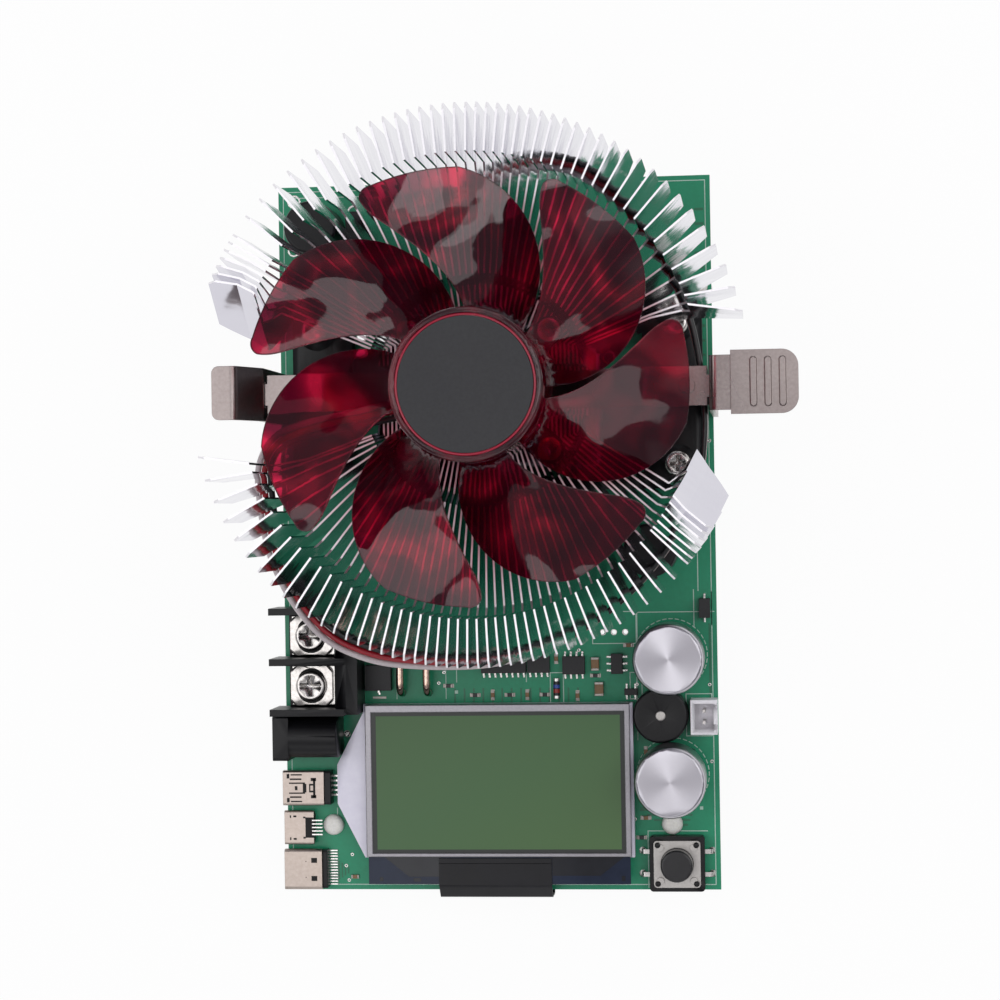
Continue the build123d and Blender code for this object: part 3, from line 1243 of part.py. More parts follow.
# Buzzer, sensor socket, capacitors and current-sensing bridges
with BuildPart() as buzzer:
    with BuildSketch(on_board(buzzer_x, buzzer_y)):
        Circle(buzzer_radius)
    extrude(amount=buzzer_height)
    fillet(buzzer.edges().group_by(Axis.Z)[-1], buzzer_round)
    with BuildSketch(on_board(buzzer_x, buzzer_y, buzzer_height)):
        Circle(buzzer_hole_radius)
    extrude(amount=-buzzer_hole_depth, mode=Mode.SUBTRACT)
    with BuildSketch(on_board()):
        with Locations(*buzzer_pin_spots):
            Circle(lead_radius)
    extrude(amount=-lead_depth)
finish(buzzer.part, "buzzer")

with BuildPart() as sensor_socket:
    with BuildSketch(on_board(sensor_x, sensor_y)):
        Rectangle(sensor_width, sensor_length)
    extrude(amount=sensor_height)
    with BuildSketch(on_board(sensor_x, sensor_y, sensor_floor)):
        Rectangle(sensor_width - 2 * sensor_wall, sensor_length - 2 * sensor_wall)
    extrude(amount=sensor_height, mode=Mode.SUBTRACT)
    with BuildSketch(on_board(sensor_x + sensor_width / 2, sensor_y, sensor_height)):
        with GridLocations(0, sensor_slot_pitch, 1, 2):
            Rectangle(4 * sensor_wall, sensor_slot_width)
    extrude(amount=-sensor_slot_depth, mode=Mode.SUBTRACT)
    with BuildSketch(on_board()):
        with Locations(*sensor_pin_spots):
            Rectangle(sensor_pin_size + 2 * running_gap, sensor_pin_size + 2 * running_gap)
    extrude(amount=sensor_floor, mode=Mode.SUBTRACT)
finish(sensor_socket.part, "sensor_socket")

with BuildPart() as sensor_pins:
    with BuildSketch(on_board(height=-lead_depth)):
        with Locations(*sensor_pin_spots):
            Rectangle(sensor_pin_size, sensor_pin_size)
    extrude(amount=lead_depth + sensor_pin_top)
finish(sensor_pins.part, "sensor_pins")

with BuildPart() as capacitors:
    with BuildSketch(on_board()):
        with Locations(*big_capacitor_spots):
            Circle(capacitor_radius)
    extrude(amount=capacitor_height)
    fillet(capacitors.edges().group_by(Axis.Z)[-1], capacitor_round)
    with BuildSketch(on_board(*film_spot)):
        RectangleRounded(film_width, film_length, film_corner)
    extrude(amount=film_height)
    with BuildSketch(on_board()):
        with Locations(*capacitor_lead_spots):
            Circle(lead_radius)
    extrude(amount=-lead_depth)
finish(capacitors.part, "capacitors")

with BuildPart() as sensing_bridges:
    for side in (-1, 1):
        with BuildLine(end_of_board(shunt_x + side * shunt_pitch / 2, shunt_y)) as bridge:
            FilletPolyline((-shunt_length / 2, -lead_depth), (-shunt_length / 2, shunt_rise),
                           (shunt_length / 2, shunt_rise), (shunt_length / 2, -lead_depth),
                           radius=shunt_bend)
        with BuildSketch(Plane(origin=bridge.line @ 0, z_dir=bridge.line % 0)):
            Circle(shunt_radius)
        sweep(path=bridge.line)
finish(sensing_bridges.part, "sensing_bridges")

# Chips and diodes on the board's top face, each with its row or rows of leads
with BuildPart() as chip_bodies:
    for x, y, length, width, height, leads, pitch, quarter in chips:
        turned = Plane(on_board(x, display_rear + y, chip_lift).origin, x_dir=polar(1, quarter) + (0,),
                       z_dir=(0, 0, 1))
        with BuildSketch(turned):
            Rectangle(length, width)
        extrude(amount=height - chip_lift)
finish(chip_bodies.part, "chip_bodies")

with BuildPart() as chip_leads:
    for x, y, length, width, height, leads, pitch, quarter in chips:
        for row_angle in (quarter, quarter + 180):
            along, outward = polar(1, row_angle) + (0,), polar(1, row_angle + 90) + (0,)
            row = Plane(on_board(x, display_rear + y).origin, x_dir=outward, z_dir=along)
            for place in range(leads):
                reach = (place - (leads - 1) / 2) * pitch
                with BuildSketch(row.offset(reach - chip_lead_width / 2)):
                    with BuildLine():
                        Polyline((width / 2, height / 2), (width / 2 + chip_lead_knee, height / 2),
                                 (width / 2 + chip_lead_knee, chip_lead_thickness / 2),
                                 (width / 2 + chip_lead_foot, chip_lead_thickness / 2))
                    trace(line_width=chip_lead_thickness)
                extrude(amount=chip_lead_width)
finish(chip_leads.part, "chip_leads")
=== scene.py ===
# %% [markdown]
# # A bench electronic load with a clear red fan
# The object is a circuit board on four posts. It carries a round fan cooler, a small display, a screw
# terminal, sockets, a button and two knobs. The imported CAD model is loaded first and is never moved:
# everything made here is placed around it, in metres, in the same frame.

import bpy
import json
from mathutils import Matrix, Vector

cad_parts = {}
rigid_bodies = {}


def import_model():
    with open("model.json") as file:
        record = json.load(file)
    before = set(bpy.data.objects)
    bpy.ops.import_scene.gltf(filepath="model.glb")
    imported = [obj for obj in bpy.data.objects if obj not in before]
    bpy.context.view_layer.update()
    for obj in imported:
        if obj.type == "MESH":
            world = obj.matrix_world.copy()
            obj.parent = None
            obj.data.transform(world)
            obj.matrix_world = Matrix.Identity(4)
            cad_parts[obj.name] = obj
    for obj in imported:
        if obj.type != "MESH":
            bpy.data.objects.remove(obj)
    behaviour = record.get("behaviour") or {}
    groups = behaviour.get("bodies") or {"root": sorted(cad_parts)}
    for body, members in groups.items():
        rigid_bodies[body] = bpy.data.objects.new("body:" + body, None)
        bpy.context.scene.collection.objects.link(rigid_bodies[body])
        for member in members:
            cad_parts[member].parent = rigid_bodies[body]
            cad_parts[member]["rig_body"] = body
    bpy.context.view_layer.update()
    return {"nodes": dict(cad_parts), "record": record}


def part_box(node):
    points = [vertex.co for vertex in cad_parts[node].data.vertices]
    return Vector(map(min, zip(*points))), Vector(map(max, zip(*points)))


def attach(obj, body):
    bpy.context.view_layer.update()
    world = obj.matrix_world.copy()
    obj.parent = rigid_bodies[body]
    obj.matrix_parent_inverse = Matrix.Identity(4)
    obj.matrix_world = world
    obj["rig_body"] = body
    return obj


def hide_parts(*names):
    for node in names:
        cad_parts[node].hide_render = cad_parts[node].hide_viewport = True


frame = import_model()

# %% [markdown]
# ## Places on the board
# Sizes of electronic parts are known in millimetres, and their places are measured from the middle of
# the board. One function turns such a place into Blender's metres, so that the numbers below can be
# read with a ruler beside the real board. A second one goes the other way, so that a detail can be
# set on top of a CAD node wherever that is. Typing in world coordinates would work too, but the
# numbers would say nothing to a reader, and would go stale when the CAD model changes.

# %% Places on the board
import json
import math

import bmesh
import bpy
from mathutils import Matrix, Vector

MM = 0.001
board_low, board_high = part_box("circuit_board")
board_middle = (board_low + board_high) / 2
board_top = board_high.z


def on_board(x, y, height=0.0):
    """A place in mm from the board's middle, and above its top face, as a point in metres."""
    return Vector((board_middle.x + x * MM, board_middle.y + y * MM, board_top + height * MM))


def in_mm(point):
    """A point in metres as x and y in mm from the board's middle, and the height above its top."""
    return (point.x - board_middle.x) / MM, (point.y - board_middle.y) / MM, (point.z - board_top) / MM


def top_middle(node):
    """The middle of a CAD node's top, in mm on the board."""
    low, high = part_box(node)
    return in_mm(Vector(((low.x + high.x) / 2, (low.y + high.y) / 2, high.z)))


print("board middle and top in mm:", [round(1000 * c, 2) for c in (*board_middle[:2], board_top)])

# %% [markdown]
# ## Camera
# The photograph looks almost straight down on the board from about half a metre, a little from the
# right of the fan, so the cooler's left fins show their inner faces. The lens and the place come from
# matching parts of known size. The camera is made first, because everything else is judged through it.

# %% Camera
camera_data = bpy.data.cameras.new("camera")
camera_data.lens = 86.4
camera_data.sensor_width = 36.0
camera = bpy.data.objects.new("camera", camera_data)
camera.location = (0.052607, 0.001773, 0.53699)
camera.rotation_euler = (0.0033, 0.1085, -0.0162)
bpy.context.scene.collection.objects.link(camera)
bpy.context.scene.camera = camera
print("camera at", [round(c, 3) for c in camera.location])

# %% [markdown]
# ## Materials
# Blender works in linear light, and colours read from a screen are sRGB, so one function converts hex
# values. A second one adds a shader node with its settings and links. Most finishes here are a moulded
# plastic, a plated metal or a lacquer, so a third one makes a surface from two close tones mixed by a
# fine noise, with the same noise as a small bump. A Bevel node rounds the normals at edges, because
# no real edge is sharp, and the light line along an edge is what makes a small part look solid.
# A painted image could hold all this too, but it would fix one resolution and one object.

# %% Material helpers
finishes = {}
CLOUD_SCALE = 60.0  # soft patches about 17 mm wide, in every plain finish


def linear(hex_colour):
    """An sRGB hex colour as linear red, green, blue and alpha."""
    parts = [int(hex_colour[place:place + 2], 16) / 255 for place in (1, 3, 5)]
    return [c / 12.92 if c <= 0.04045 else ((c + 0.055) / 1.055) ** 2.4 for c in parts] + [1.0]


def add(tree, kind, links=None, ramp=(), **settings):
    """Adds a shader node: settings, then the ramp's first, last and middle stops, then its sockets."""
    node = tree.nodes.new("ShaderNode" + kind)
    for name, value in settings.items():
        setattr(node, name, value)
    for stop, (place, colour) in enumerate(ramp):
        element = node.color_ramp.elements[stop] if stop < 2 else node.color_ramp.elements.new(place)
        element.position, element.color = place, linear(colour)
    for socket, value in (links or {}).items():
        if isinstance(value, bpy.types.NodeSocket):
            tree.links.new(value, node.inputs[socket])
        else:
            node.inputs[socket].default_value = value
    return node


def new_finish(name):
    """A material with an empty node tree, kept in finishes under its name. Returns the tree."""
    material = bpy.data.materials.new(name)
    material.use_nodes = True
    material.node_tree.nodes.clear()
    finishes[name] = material
    return material.node_tree


def surface(name, dark, light, roughness, grain, depth, edge=0.12, **shader):
    """A finish of two tones mixed by a noise. grain, depth and edge are in mm."""
    tree = new_finish(name)
    place = add(tree, "TexCoord").outputs["Object"]
    noise = add(tree, "TexNoise", {"Vector": place, "Scale": 1000 / grain, "Detail": 3.0})
    cloud = add(tree, "TexNoise", {"Vector": place, "Scale": CLOUD_SCALE, "Detail": 2.0})
    both = add(tree, "Math", {0: noise.outputs["Fac"], 1: cloud.outputs["Fac"]}, operation="ADD")
    half = add(tree, "Math", {0: both.outputs[0], 1: 0.5}, operation="MULTIPLY")
    tone = add(tree, "ValToRGB", {"Fac": half.outputs[0]}, ramp=[(0.35, dark), (0.65, light)])
    rough = add(tree, "MapRange", {"Value": cloud.outputs["Fac"], "From Min": 0.3, "From Max": 0.7,
                                   "To Min": roughness - 0.05, "To Max": roughness + 0.05})
    corner = add(tree, "Bevel", {"Radius": edge * MM}, samples=4)
    bump = add(tree, "Bump", {"Height": noise.outputs["Fac"], "Distance": depth * MM, "Strength": 1.0,
                              "Normal": corner.outputs[0]})
    own = {socket.replace("_", " "): value for socket, value in shader.items()}
    skin = add(tree, "BsdfPrincipled", {"Base Color": tone.outputs[0], "Roughness": rough.outputs[0],
                                        "Normal": bump.outputs[0], **own})
    add(tree, "OutputMaterial", {"Surface": skin.outputs[0]})


print("soft patches of", round(1000 / CLOUD_SCALE), "mm in each plain finish")

# %% [markdown]
# ## Lacquer, plastics and films
# Each finish is named for what it is and how its surface was made, and its comment says what that
# gives the eye. Black plastic isn't black: its tone is a dark grey, and a weaker mirror term keeps it
# dark under the lamps. Spark-eroded or blasted grain is 0.2 to 0.5 mm here, about as fine as the
# picture can show.

# %% Lacquer, plastics and films
# Solder mask: a satin green lacquer over glass laminate, slightly cloudy where copper lies under it
surface("solder_mask_green", "#158861", "#199069", 0.36, 0.9, 0.004, edge=0.1,
        Coat_Weight=0.1, Coat_Roughness=0.15, Specular_IOR_Level=0.35)
# Copper under the mask: the same lacquer, a shade darker, with a soft step at its edge
surface("mask_on_copper", "#146a49", "#187050", 0.34, 0.9, 0.004, edge=0.03)
# Nylon, moulded: milky and a little translucent, with soft highlights
surface("white_nylon", "#d8d6cf", "#ecebe6", 0.42, 0.5, 0.006,
        Subsurface_Weight=0.15, Subsurface_Radius=(0.001, 0.001, 0.0008))
# Nylon, moulded white: satin
surface("socket_white", "#e6e4e8", "#f4f2f6", 0.38, 0.4, 0.004,
        Subsurface_Weight=0.4, Subsurface_Radius=(0.002, 0.002, 0.002))
# Glass-filled black plastic, moulded: nearly black, with the fine matt grain of a spark-eroded mould
surface("black_moulding", "#08080a", "#101013", 0.36, 0.35, 0.006, Specular_IOR_Level=0.3)
# Epoxy, transfer moulded: charcoal, with the even matt of a sand-blasted mould
surface("black_epoxy", "#121214", "#1d1d20", 0.5, 0.2, 0.006)
# Key cap, moulded black: satin with a polished top
surface("button_black", "#101012", "#1a1a1c", 0.28, 0.5, 0.003, edge=0.25)
# Potentiometer body, moulded: dark blue-grey plastic
surface("slate_plastic", "#1d2227", "#2a3036", 0.45, 0.4, 0.006)
# Acrylic light guide, moulded with a diffusing filler: glossy lavender white
surface("light_guide_white", "#dad7e6", "#e4e2ee", 0.3, 2.0, 0.002, edge=0.2)
# Foam tape, cut: matt off-white with open pores
surface("foam_tape", "#c9c9c4", "#e2e2de", 0.8, 0.25, 0.03)
# Soft PVC, extruded over wire: satin, in dull colours
surface("wire_black", "#0c0c0d", "#161617", 0.34, 0.6, 0.004, edge=0.05)
surface("wire_red", "#860e1c", "#9a1424", 0.34, 0.6, 0.004, edge=0.05)
surface("wire_white", "#b9aeb0", "#cbc1c2", 0.34, 0.6, 0.004, edge=0.05)
# Polyimide film, laminated black: smooth and glossy, with slight waves
surface("flex_black", "#0c0c0f", "#15151a", 0.34, 5.0, 0.03, Specular_IOR_Level=0.3)
# Printed film on the hub: black ink under a satin film
surface("hub_label_black", "#202023", "#29292c", 0.55, 0.6, 0.001, edge=0.05)
# Bare red plastic of the hub, polished, between black surfaces: a thin glossy line
surface("bright_red", "#9c1030", "#a81436", 0.2, 0.5, 0.002, edge=0.05)
# Display glass, bare where the cable joins it: slate blue and glossy
surface("lcd_glass", "#1c2436", "#232c40", 0.12, 3.0, 0.001, edge=0.1, Specular_IOR_Level=0.2)
# Glass over etched tracks: darker and greyer than the bare glass
surface("ledge_tracks", "#15171d", "#1b1d24", 0.12, 2.0, 0.001, edge=0.05, Specular_IOR_Level=0.3)
# Black ink and shadow gap round the picture
surface("gap_black", "#1c201d", "#242925", 0.35, 0.4, 0.001, edge=0.05)
# Painted shade: the dark inside of a socket, seen through a window in its shell, and the dark crescents
# round the clamp screws
surface("painted_shade_dark", "#060606", "#0b0b0b", 0.7, 0.3, 0.002, edge=0.02)
# Epoxy ink, screen printed: chalky pale green-white, a little thin where the mask shows through
surface("silk_ink", "#9fc4b2", "#c9ddd2", 0.6, 0.25, 0.01, edge=0.02)
# Ceramic chip parts, fired: matt body colours
surface("chip_brown", "#7a5c3e", "#8c6d4b", 0.5, 0.2, 0.004, edge=0.05)
surface("chip_black", "#161617", "#222224", 0.4, 0.2, 0.004, edge=0.05)
# Lacquer bands on a small glass diode
surface("band_red", "#8c1c16", "#a32820", 0.35, 0.3, 0.002, edge=0.05)
surface("band_blue", "#24409a", "#3152b0", 0.35, 0.3, 0.002, edge=0.05)
print(len(finishes), "lacquers, plastics and films")

# %% [markdown]
# ## Metals
# A metal's colour is its reflection, so its base colour stays pale and its roughness tells plating,
# solder and machining apart. A metal keeps Blender's own IOR.

# %% Metals
# Steel, zinc plated: bright with a faint cloudiness, and a cool grey tone
surface("zinc_steel", "#b4b0ac", "#d0ccc8", 0.24, 0.7, 0.003, Metallic=1.0)
# Aluminium, milled: a little duller than the rolled sheet
surface("base_aluminium", "#a9aaad", "#bfc0c2", 0.3, 0.5, 0.004, Metallic=1.0)
# Spring steel, nickel plated: a warm grey metal with soft, wide highlights
surface("nickel_spring_steel", "#8f8583", "#9f9592", 0.3, 0.6, 0.004, edge=0.2, Metallic=1.0)
# Steel frame, pressed and nickel plated over a dull blast: satin grey
surface("nickel_plated_frame", "#8e8c90", "#9d9ba0", 0.34, 0.5, 0.002, edge=0.2, Metallic=0.9)
# Steel shell, drawn and bright nickel plated: warm pale silver
surface("shell_steel", "#a4988f", "#b2a69e", 0.3, 0.7, 0.002, Metallic=1.0)
# Steel plate, pressed and tin plated: even satin
surface("satin_plate", "#adaaa6", "#bab7b3", 0.42, 0.6, 0.002, Metallic=1.0)
# Electrical steel, laminated: dull grey
surface("electrical_steel", "#5d5d61", "#74747a", 0.4, 0.3, 0.004, Metallic=1.0)
# Copper, hot-dip tinned: bright silver, slightly wavy where the solder flowed
surface("tinned_copper", "#bdbab6", "#dad7d3", 0.22, 0.6, 0.012, Metallic=1.0)
# Tin-lead solder, frozen: bright silver with a soft, wavy skin
surface("solder", "#b9b7b4", "#dcdad6", 0.2, 0.5, 0.03, edge=0.05, Metallic=1.0)
# Nickel and tin over ceramic, plated: duller than solder
surface("plated_end", "#8d8984", "#a5a19b", 0.38, 0.2, 0.01, edge=0.05, Metallic=1.0)
# Resistance wire, bright drawn and tinned: warm pinkish silver
surface("bridge_wire", "#c9a795", "#e2c6b6", 0.16, 0.7, 0.01, Metallic=1.0)
# Copper wire, enamelled: brown-red and glossy
surface("enamelled_copper", "#7c3f1f", "#a85c30", 0.3, 0.4, 0.02, Metallic=1.0)
# Bronze, sintered: dull brown-yellow
surface("oil_bronze", "#7d5f33", "#937044", 0.45, 0.2, 0.006, Metallic=1.0)
# Ferrite in a plastic binder, pressed: dull near-black
surface("ferrite_magnet", "#232122", "#2f2c2d", 0.55, 0.3, 0.006)
print(len(finishes), "finishes so far")

# %% [markdown]
# ## Clear red plastic
# The impeller is clear dyed plastic, moulded and polished: deep wine red, with sharp lamp reflections.
# Its blades aren't true planes: a moulded blade has shallow waves, so a reflected lamp gets a curved
# outline. A slow noise bends the normals for that. The dye is the base colour of a transmitting
# shader. It also carries painted light: a slow noise paints brighter red patches into it, painted
# glints of refracted light, so the base colour varies slowly over the blades.

# %% Clear red plastic
tree = new_finish("red_clear_plastic")
place = add(tree, "TexCoord").outputs["Object"]
# Waves about 13 mm long, painted glints that change over 15 mm, and specks of 1 mm
wave = add(tree, "TexNoise", {"Vector": place, "Scale": 75.0, "Detail": 0.5})
painted_glint_noise = add(tree, "TexNoise", {"Vector": place, "Scale": 65.0, "Detail": 1.0, "Distortion": 1.4})
speck = add(tree, "TexNoise", {"Vector": place, "Scale": 900.0, "Detail": 2.0})
# Painted light: brighter red glints painted into the dye's base colour
dye_and_painted_glints = add(tree, "ValToRGB", {"Fac": painted_glint_noise.outputs["Fac"]},
          ramp=[(0.40, "#72102f"), (0.68, "#e62450"), (0.56, "#a5143a")])
corner = add(tree, "Bevel", {"Radius": 0.35 * MM}, samples=4)
slow = add(tree, "Bump", {"Height": wave.outputs["Fac"], "Distance": 1.9 * MM, "Normal": corner.outputs[0]})
fast = add(tree, "Bump", {"Height": speck.outputs["Fac"], "Distance": 0.002 * MM,
                          "Normal": slow.outputs[0]})
skin = add(tree, "BsdfPrincipled", {"Base Color": dye_and_painted_glints.outputs[0], "Roughness": 0.04, "IOR": 1.5,
                                    "Transmission Weight": 0.88, "Normal": fast.outputs[0]})
add(tree, "OutputMaterial", {"Surface": skin.outputs[0]})
print("clear red plastic:", len(tree.nodes), "nodes")

# %% [markdown]
# ## The display's film
# A polariser film lies over a light guide. Its green is painted light: it runs from dim at the upper
# left to brighter and yellower at the lower right. The place on the film, in Object coordinates, mixes the
# tones.

# %% The display's film
painted_light_low, painted_light_high = on_board(-26.8, -68.5), on_board(27.5, -39.4)
tree = new_finish("lcd_film")
parts = add(tree, "SeparateXYZ", {"Vector": add(tree, "TexCoord").outputs["Object"]})
across = add(tree, "MapRange", {"Value": parts.outputs["X"], "From Min": painted_light_low.x, "From Max": painted_light_high.x})
down = add(tree, "MapRange", {"Value": parts.outputs["Y"], "From Min": painted_light_high.y, "From Max": painted_light_low.y})
blend = add(tree, "Math", {0: across.outputs[0], 1: down.outputs[0]}, operation="ADD")
half = add(tree, "Math", {0: blend.outputs[0], 1: 0.5}, operation="MULTIPLY")
# Painted light: dim green at the upper left, brighter and yellower at the lower right
tone = add(tree, "ValToRGB", {"Fac": half.outputs[0]},
           ramp=[(0.0, "#3a5e31"), (1.0, "#466838"), (0.5, "#3d6337")])
skin = add(tree, "BsdfPrincipled", {"Base Color": tone.outputs[0], "Roughness": 0.35})
add(tree, "OutputMaterial", {"Surface": skin.outputs[0]})
print("guide lit over", [round(side / MM, 1) for side in (painted_light_high - painted_light_low)[:2]], "mm")

# %% [markdown]
# ## Rolled and sheared sheet
# The fins are aluminium sheet, rolled bright: their faces mirror the board and each other. Their edges
# were sheared, and show as pale lines from above. Both are one material: where the true normal points
# up or down, the surface is an edge. Two materials on one node would need its mesh changed.

# %% Rolled sheet
tree = new_finish("fin_aluminium")
facing = add(tree, "SeparateXYZ", {"Vector": add(tree, "NewGeometry").outputs["True Normal"]})
level = add(tree, "Math", {0: facing.outputs["Z"]}, operation="ABSOLUTE")
sheared = add(tree, "Math", {0: level.outputs[0], 1: 0.7}, operation="GREATER_THAN")
place = add(tree, "TexCoord").outputs["Object"]
# Rolling waves about 11 mm long, and the sheared edge's grain of 0.6 mm
cloud = add(tree, "TexNoise", {"Vector": place, "Scale": 90.0, "Detail": 2.0})
grain = add(tree, "TexNoise", {"Vector": place, "Scale": 1800.0, "Detail": 2.0})
face_rough = add(tree, "MapRange", {"Value": cloud.outputs["Fac"], "From Min": 0.3, "From Max": 0.7,
                                    "To Min": 0.07, "To Max": 0.16})
rough = add(tree, "MapRange", {"Value": sheared.outputs[0], "To Min": face_rough.outputs[0], "To Max": 0.5})
wave = add(tree, "Bump", {"Height": cloud.outputs["Fac"], "Distance": 0.25 * MM})
bump = add(tree, "Bump", {"Height": grain.outputs["Fac"], "Distance": 0.004 * MM,
                          "Normal": wave.outputs[0]})
tone = add(tree, "ValToRGB", {"Fac": sheared.outputs[0]}, ramp=[(0.0, "#d2d0da"), (1.0, "#f8f6f9")])
skin = add(tree, "BsdfPrincipled", {"Base Color": tone.outputs[0], "Metallic": 1.0,
                                    "Roughness": rough.outputs[0], "Normal": bump.outputs[0]})
add(tree, "OutputMaterial", {"Surface": skin.outputs[0]})
print("rolled sheet:", len(tree.nodes), "nodes")

# %% [markdown]
# ## Turned aluminium
# The knobs are turned and anodised, so their faces carry fine rings that draw a lamp out into a bow
# tie. Each knob's mesh stores the distance from its own axis as an attribute, and the rings follow
# that. A wave texture on Object coordinates would need a centre for each knob.

# %% Turned aluminium
RING_STEP = 0.6  # real rings are about 0.1 mm apart, finer than a pixel, so they are drawn coarser
tree = new_finish("knob_aluminium")
away = add(tree, "Attribute", attribute_name="from_axis")
rings = add(tree, "Math", {0: away.outputs["Fac"], 1: 2 * math.pi / (RING_STEP * MM)},
            operation="MULTIPLY")
ridge = add(tree, "Math", {0: rings.outputs[0]}, operation="SINE")
height = add(tree, "MapRange", {"Value": ridge.outputs[0], "From Min": -1.0})
tone = add(tree, "ValToRGB", {"Fac": height.outputs[0]}, ramp=[(0.0, "#adabb1"), (1.0, "#d2d0d6")])
corner = add(tree, "Bevel", {"Radius": 0.25 * MM}, samples=4)
bump = add(tree, "Bump", {"Height": ridge.outputs[0], "Distance": 0.008 * MM,
                          "Normal": corner.outputs[0]})
round_axis = add(tree, "Tangent", direction_type="RADIAL", axis="Z")
skin = add(tree, "BsdfPrincipled", {"Base Color": tone.outputs[0], "Metallic": 1.0, "Roughness": 0.3,
                                    "Anisotropic": 0.8, "Tangent": round_axis.outputs[0],
                                    "Normal": bump.outputs[0]})
add(tree, "OutputMaterial", {"Surface": skin.outputs[0]})
print(len(finishes), "finishes")

# %% [markdown]
# ## CAD nodes with a smooth skin
# A CAD node comes as loose triangles, so a turned part would show its facets in a reflection. For each
# node a copy of its mesh has its triangles joined and its soft edges smoothed, and stands for the node.
# Normals are weighted by face size, so that a flat top stays flat beside its rounded edge. Smoothing
# the CAD mesh itself is ruled out: it is shared with the physics, and stays as it came.

# %% Dress the CAD nodes
slot_of = {part["node"]: part["material_slot"] for part in frame["record"]["subparts"]}
# Nodes whose own finish is closer to the real one than their slot's
own_finish = {"sensing_bridges": "bridge_wire", "switch_cover": "satin_plate",
              "potentiometers": "slate_plastic", "display_bezel": "nickel_plated_frame",
              "mini_socket_shell": "shell_steel", "micro_socket_shell": "shell_steel",
              "type_c_socket_shell": "shell_steel"}
# Nodes of flat faces, which need no smoothing, and the bezel, which gets a frame of its own below
flat_nodes = ["circuit_board", "heatsink_fins", "heatsink_base", "chip_bodies", "chip_leads",
              "display_pads", "display_glass", "display_bezel", "flex_connector", "hub_disc",
              "switch_cover", "clip_lever", "clip_strap"]


def place_piece(name, mesh, body, finish, replaces=()):
    """Links a mesh as one piece that rides on a body, takes a finish and stands for CAD nodes."""
    piece = bpy.data.objects.new(name, mesh)
    bpy.context.scene.collection.objects.link(piece)
    mesh.materials.clear()
    mesh.materials.append(finishes[finish])
    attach(piece, body)
    if replaces:
        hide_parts(*replaces)
    return piece


def joined_copy(node, angle):
    """A copy of a CAD node's mesh with its triangles joined and smoothed across edges under an angle."""
    mesh = frame["nodes"][node].data.copy()
    shape = bmesh.new()
    shape.from_mesh(mesh)
    bmesh.ops.remove_doubles(shape, verts=shape.verts, dist=0.002 * MM)
    shape.to_mesh(mesh)
    shape.free()
    mesh.shade_smooth()
    mesh.set_sharp_from_angle(angle=math.radians(angle))
    holder = bpy.data.objects.new(node + "_holder", mesh)
    bpy.context.scene.collection.objects.link(holder)
    flat = holder.modifiers.new("flat_faces", "WEIGHTED_NORMAL")
    flat.keep_sharp, flat.weight = True, 100
    evaluated = holder.evaluated_get(bpy.context.evaluated_depsgraph_get())
    result = bpy.data.meshes.new_from_object(evaluated)
    bpy.data.objects.remove(holder)
    return result


for node, cad in frame["nodes"].items():
    slot = slot_of[node]
    finish = own_finish.get(node, slot)
    cad.data.materials.clear()
    cad.data.materials.append(finishes[finish])
    if node in flat_nodes:
        continue
    # Pressed sheet keeps its flat faces flat
    angle = 14 if slot == "nickel_spring_steel" else 35
    piece = place_piece(node + "_skin", joined_copy(node, angle), cad["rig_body"], finish, [node])
    if node.endswith("_knob"):
        low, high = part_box(node)
        middle = (low + high) / 2
        away = piece.data.attributes.new("from_axis", "FLOAT", "POINT")
        away.data.foreach_set("value", [math.hypot(v.co.x - middle.x, v.co.y - middle.y)
                                        for v in piece.data.vertices])
print(len(frame["nodes"]) - len(flat_nodes), "nodes smoothed")

# %% [markdown]
# ## Small things that repeat
# Pads, ink lines, chip parts and solder joints are the same few shapes at many places. Each shape is
# made once, one unit large. A node group puts a copy at every point of a mesh, scaled and turned by
# the point's own attributes, and joins them. The result is kept as one plain mesh. Copying objects
# in a loop would do, but it would leave hundreds of objects to look after.

# %% The repeating node group
repeat_tree = bpy.data.node_groups.new("repeat_shape", "GeometryNodeTree")
for name, kind in (("Points", "Geometry"), ("Shape", "Object"), ("Finish", "Material")):
    repeat_tree.interface.new_socket(name, in_out="INPUT", socket_type="NodeSocket" + kind)
repeat_tree.interface.new_socket("Joined", in_out="OUTPUT", socket_type="NodeSocketGeometry")
nodes, link = repeat_tree.nodes, repeat_tree.links.new
given, result = nodes.new("NodeGroupInput"), nodes.new("NodeGroupOutput")
shape_info = nodes.new("GeometryNodeObjectInfo")
size = nodes.new("GeometryNodeInputNamedAttribute")
turn = nodes.new("GeometryNodeInputNamedAttribute")
size.data_type = turn.data_type = "FLOAT_VECTOR"
size.inputs["Name"].default_value, turn.inputs["Name"].default_value = "size", "turn"
copies = nodes.new("GeometryNodeInstanceOnPoints")
joined = nodes.new("GeometryNodeRealizeInstances")
coated = nodes.new("GeometryNodeSetMaterial")
link(given.outputs["Points"], copies.inputs["Points"])
link(given.outputs["Shape"], shape_info.inputs["Object"])
link(shape_info.outputs["Geometry"], copies.inputs["Instance"])
link(size.outputs["Attribute"], copies.inputs["Scale"])
link(turn.outputs["Attribute"], copies.inputs["Rotation"])
link(copies.outputs[0], joined.inputs[0])
link(joined.outputs[0], coated.inputs["Geometry"])
link(given.outputs["Finish"], coated.inputs["Material"])
link(coated.outputs[0], result.inputs[0])


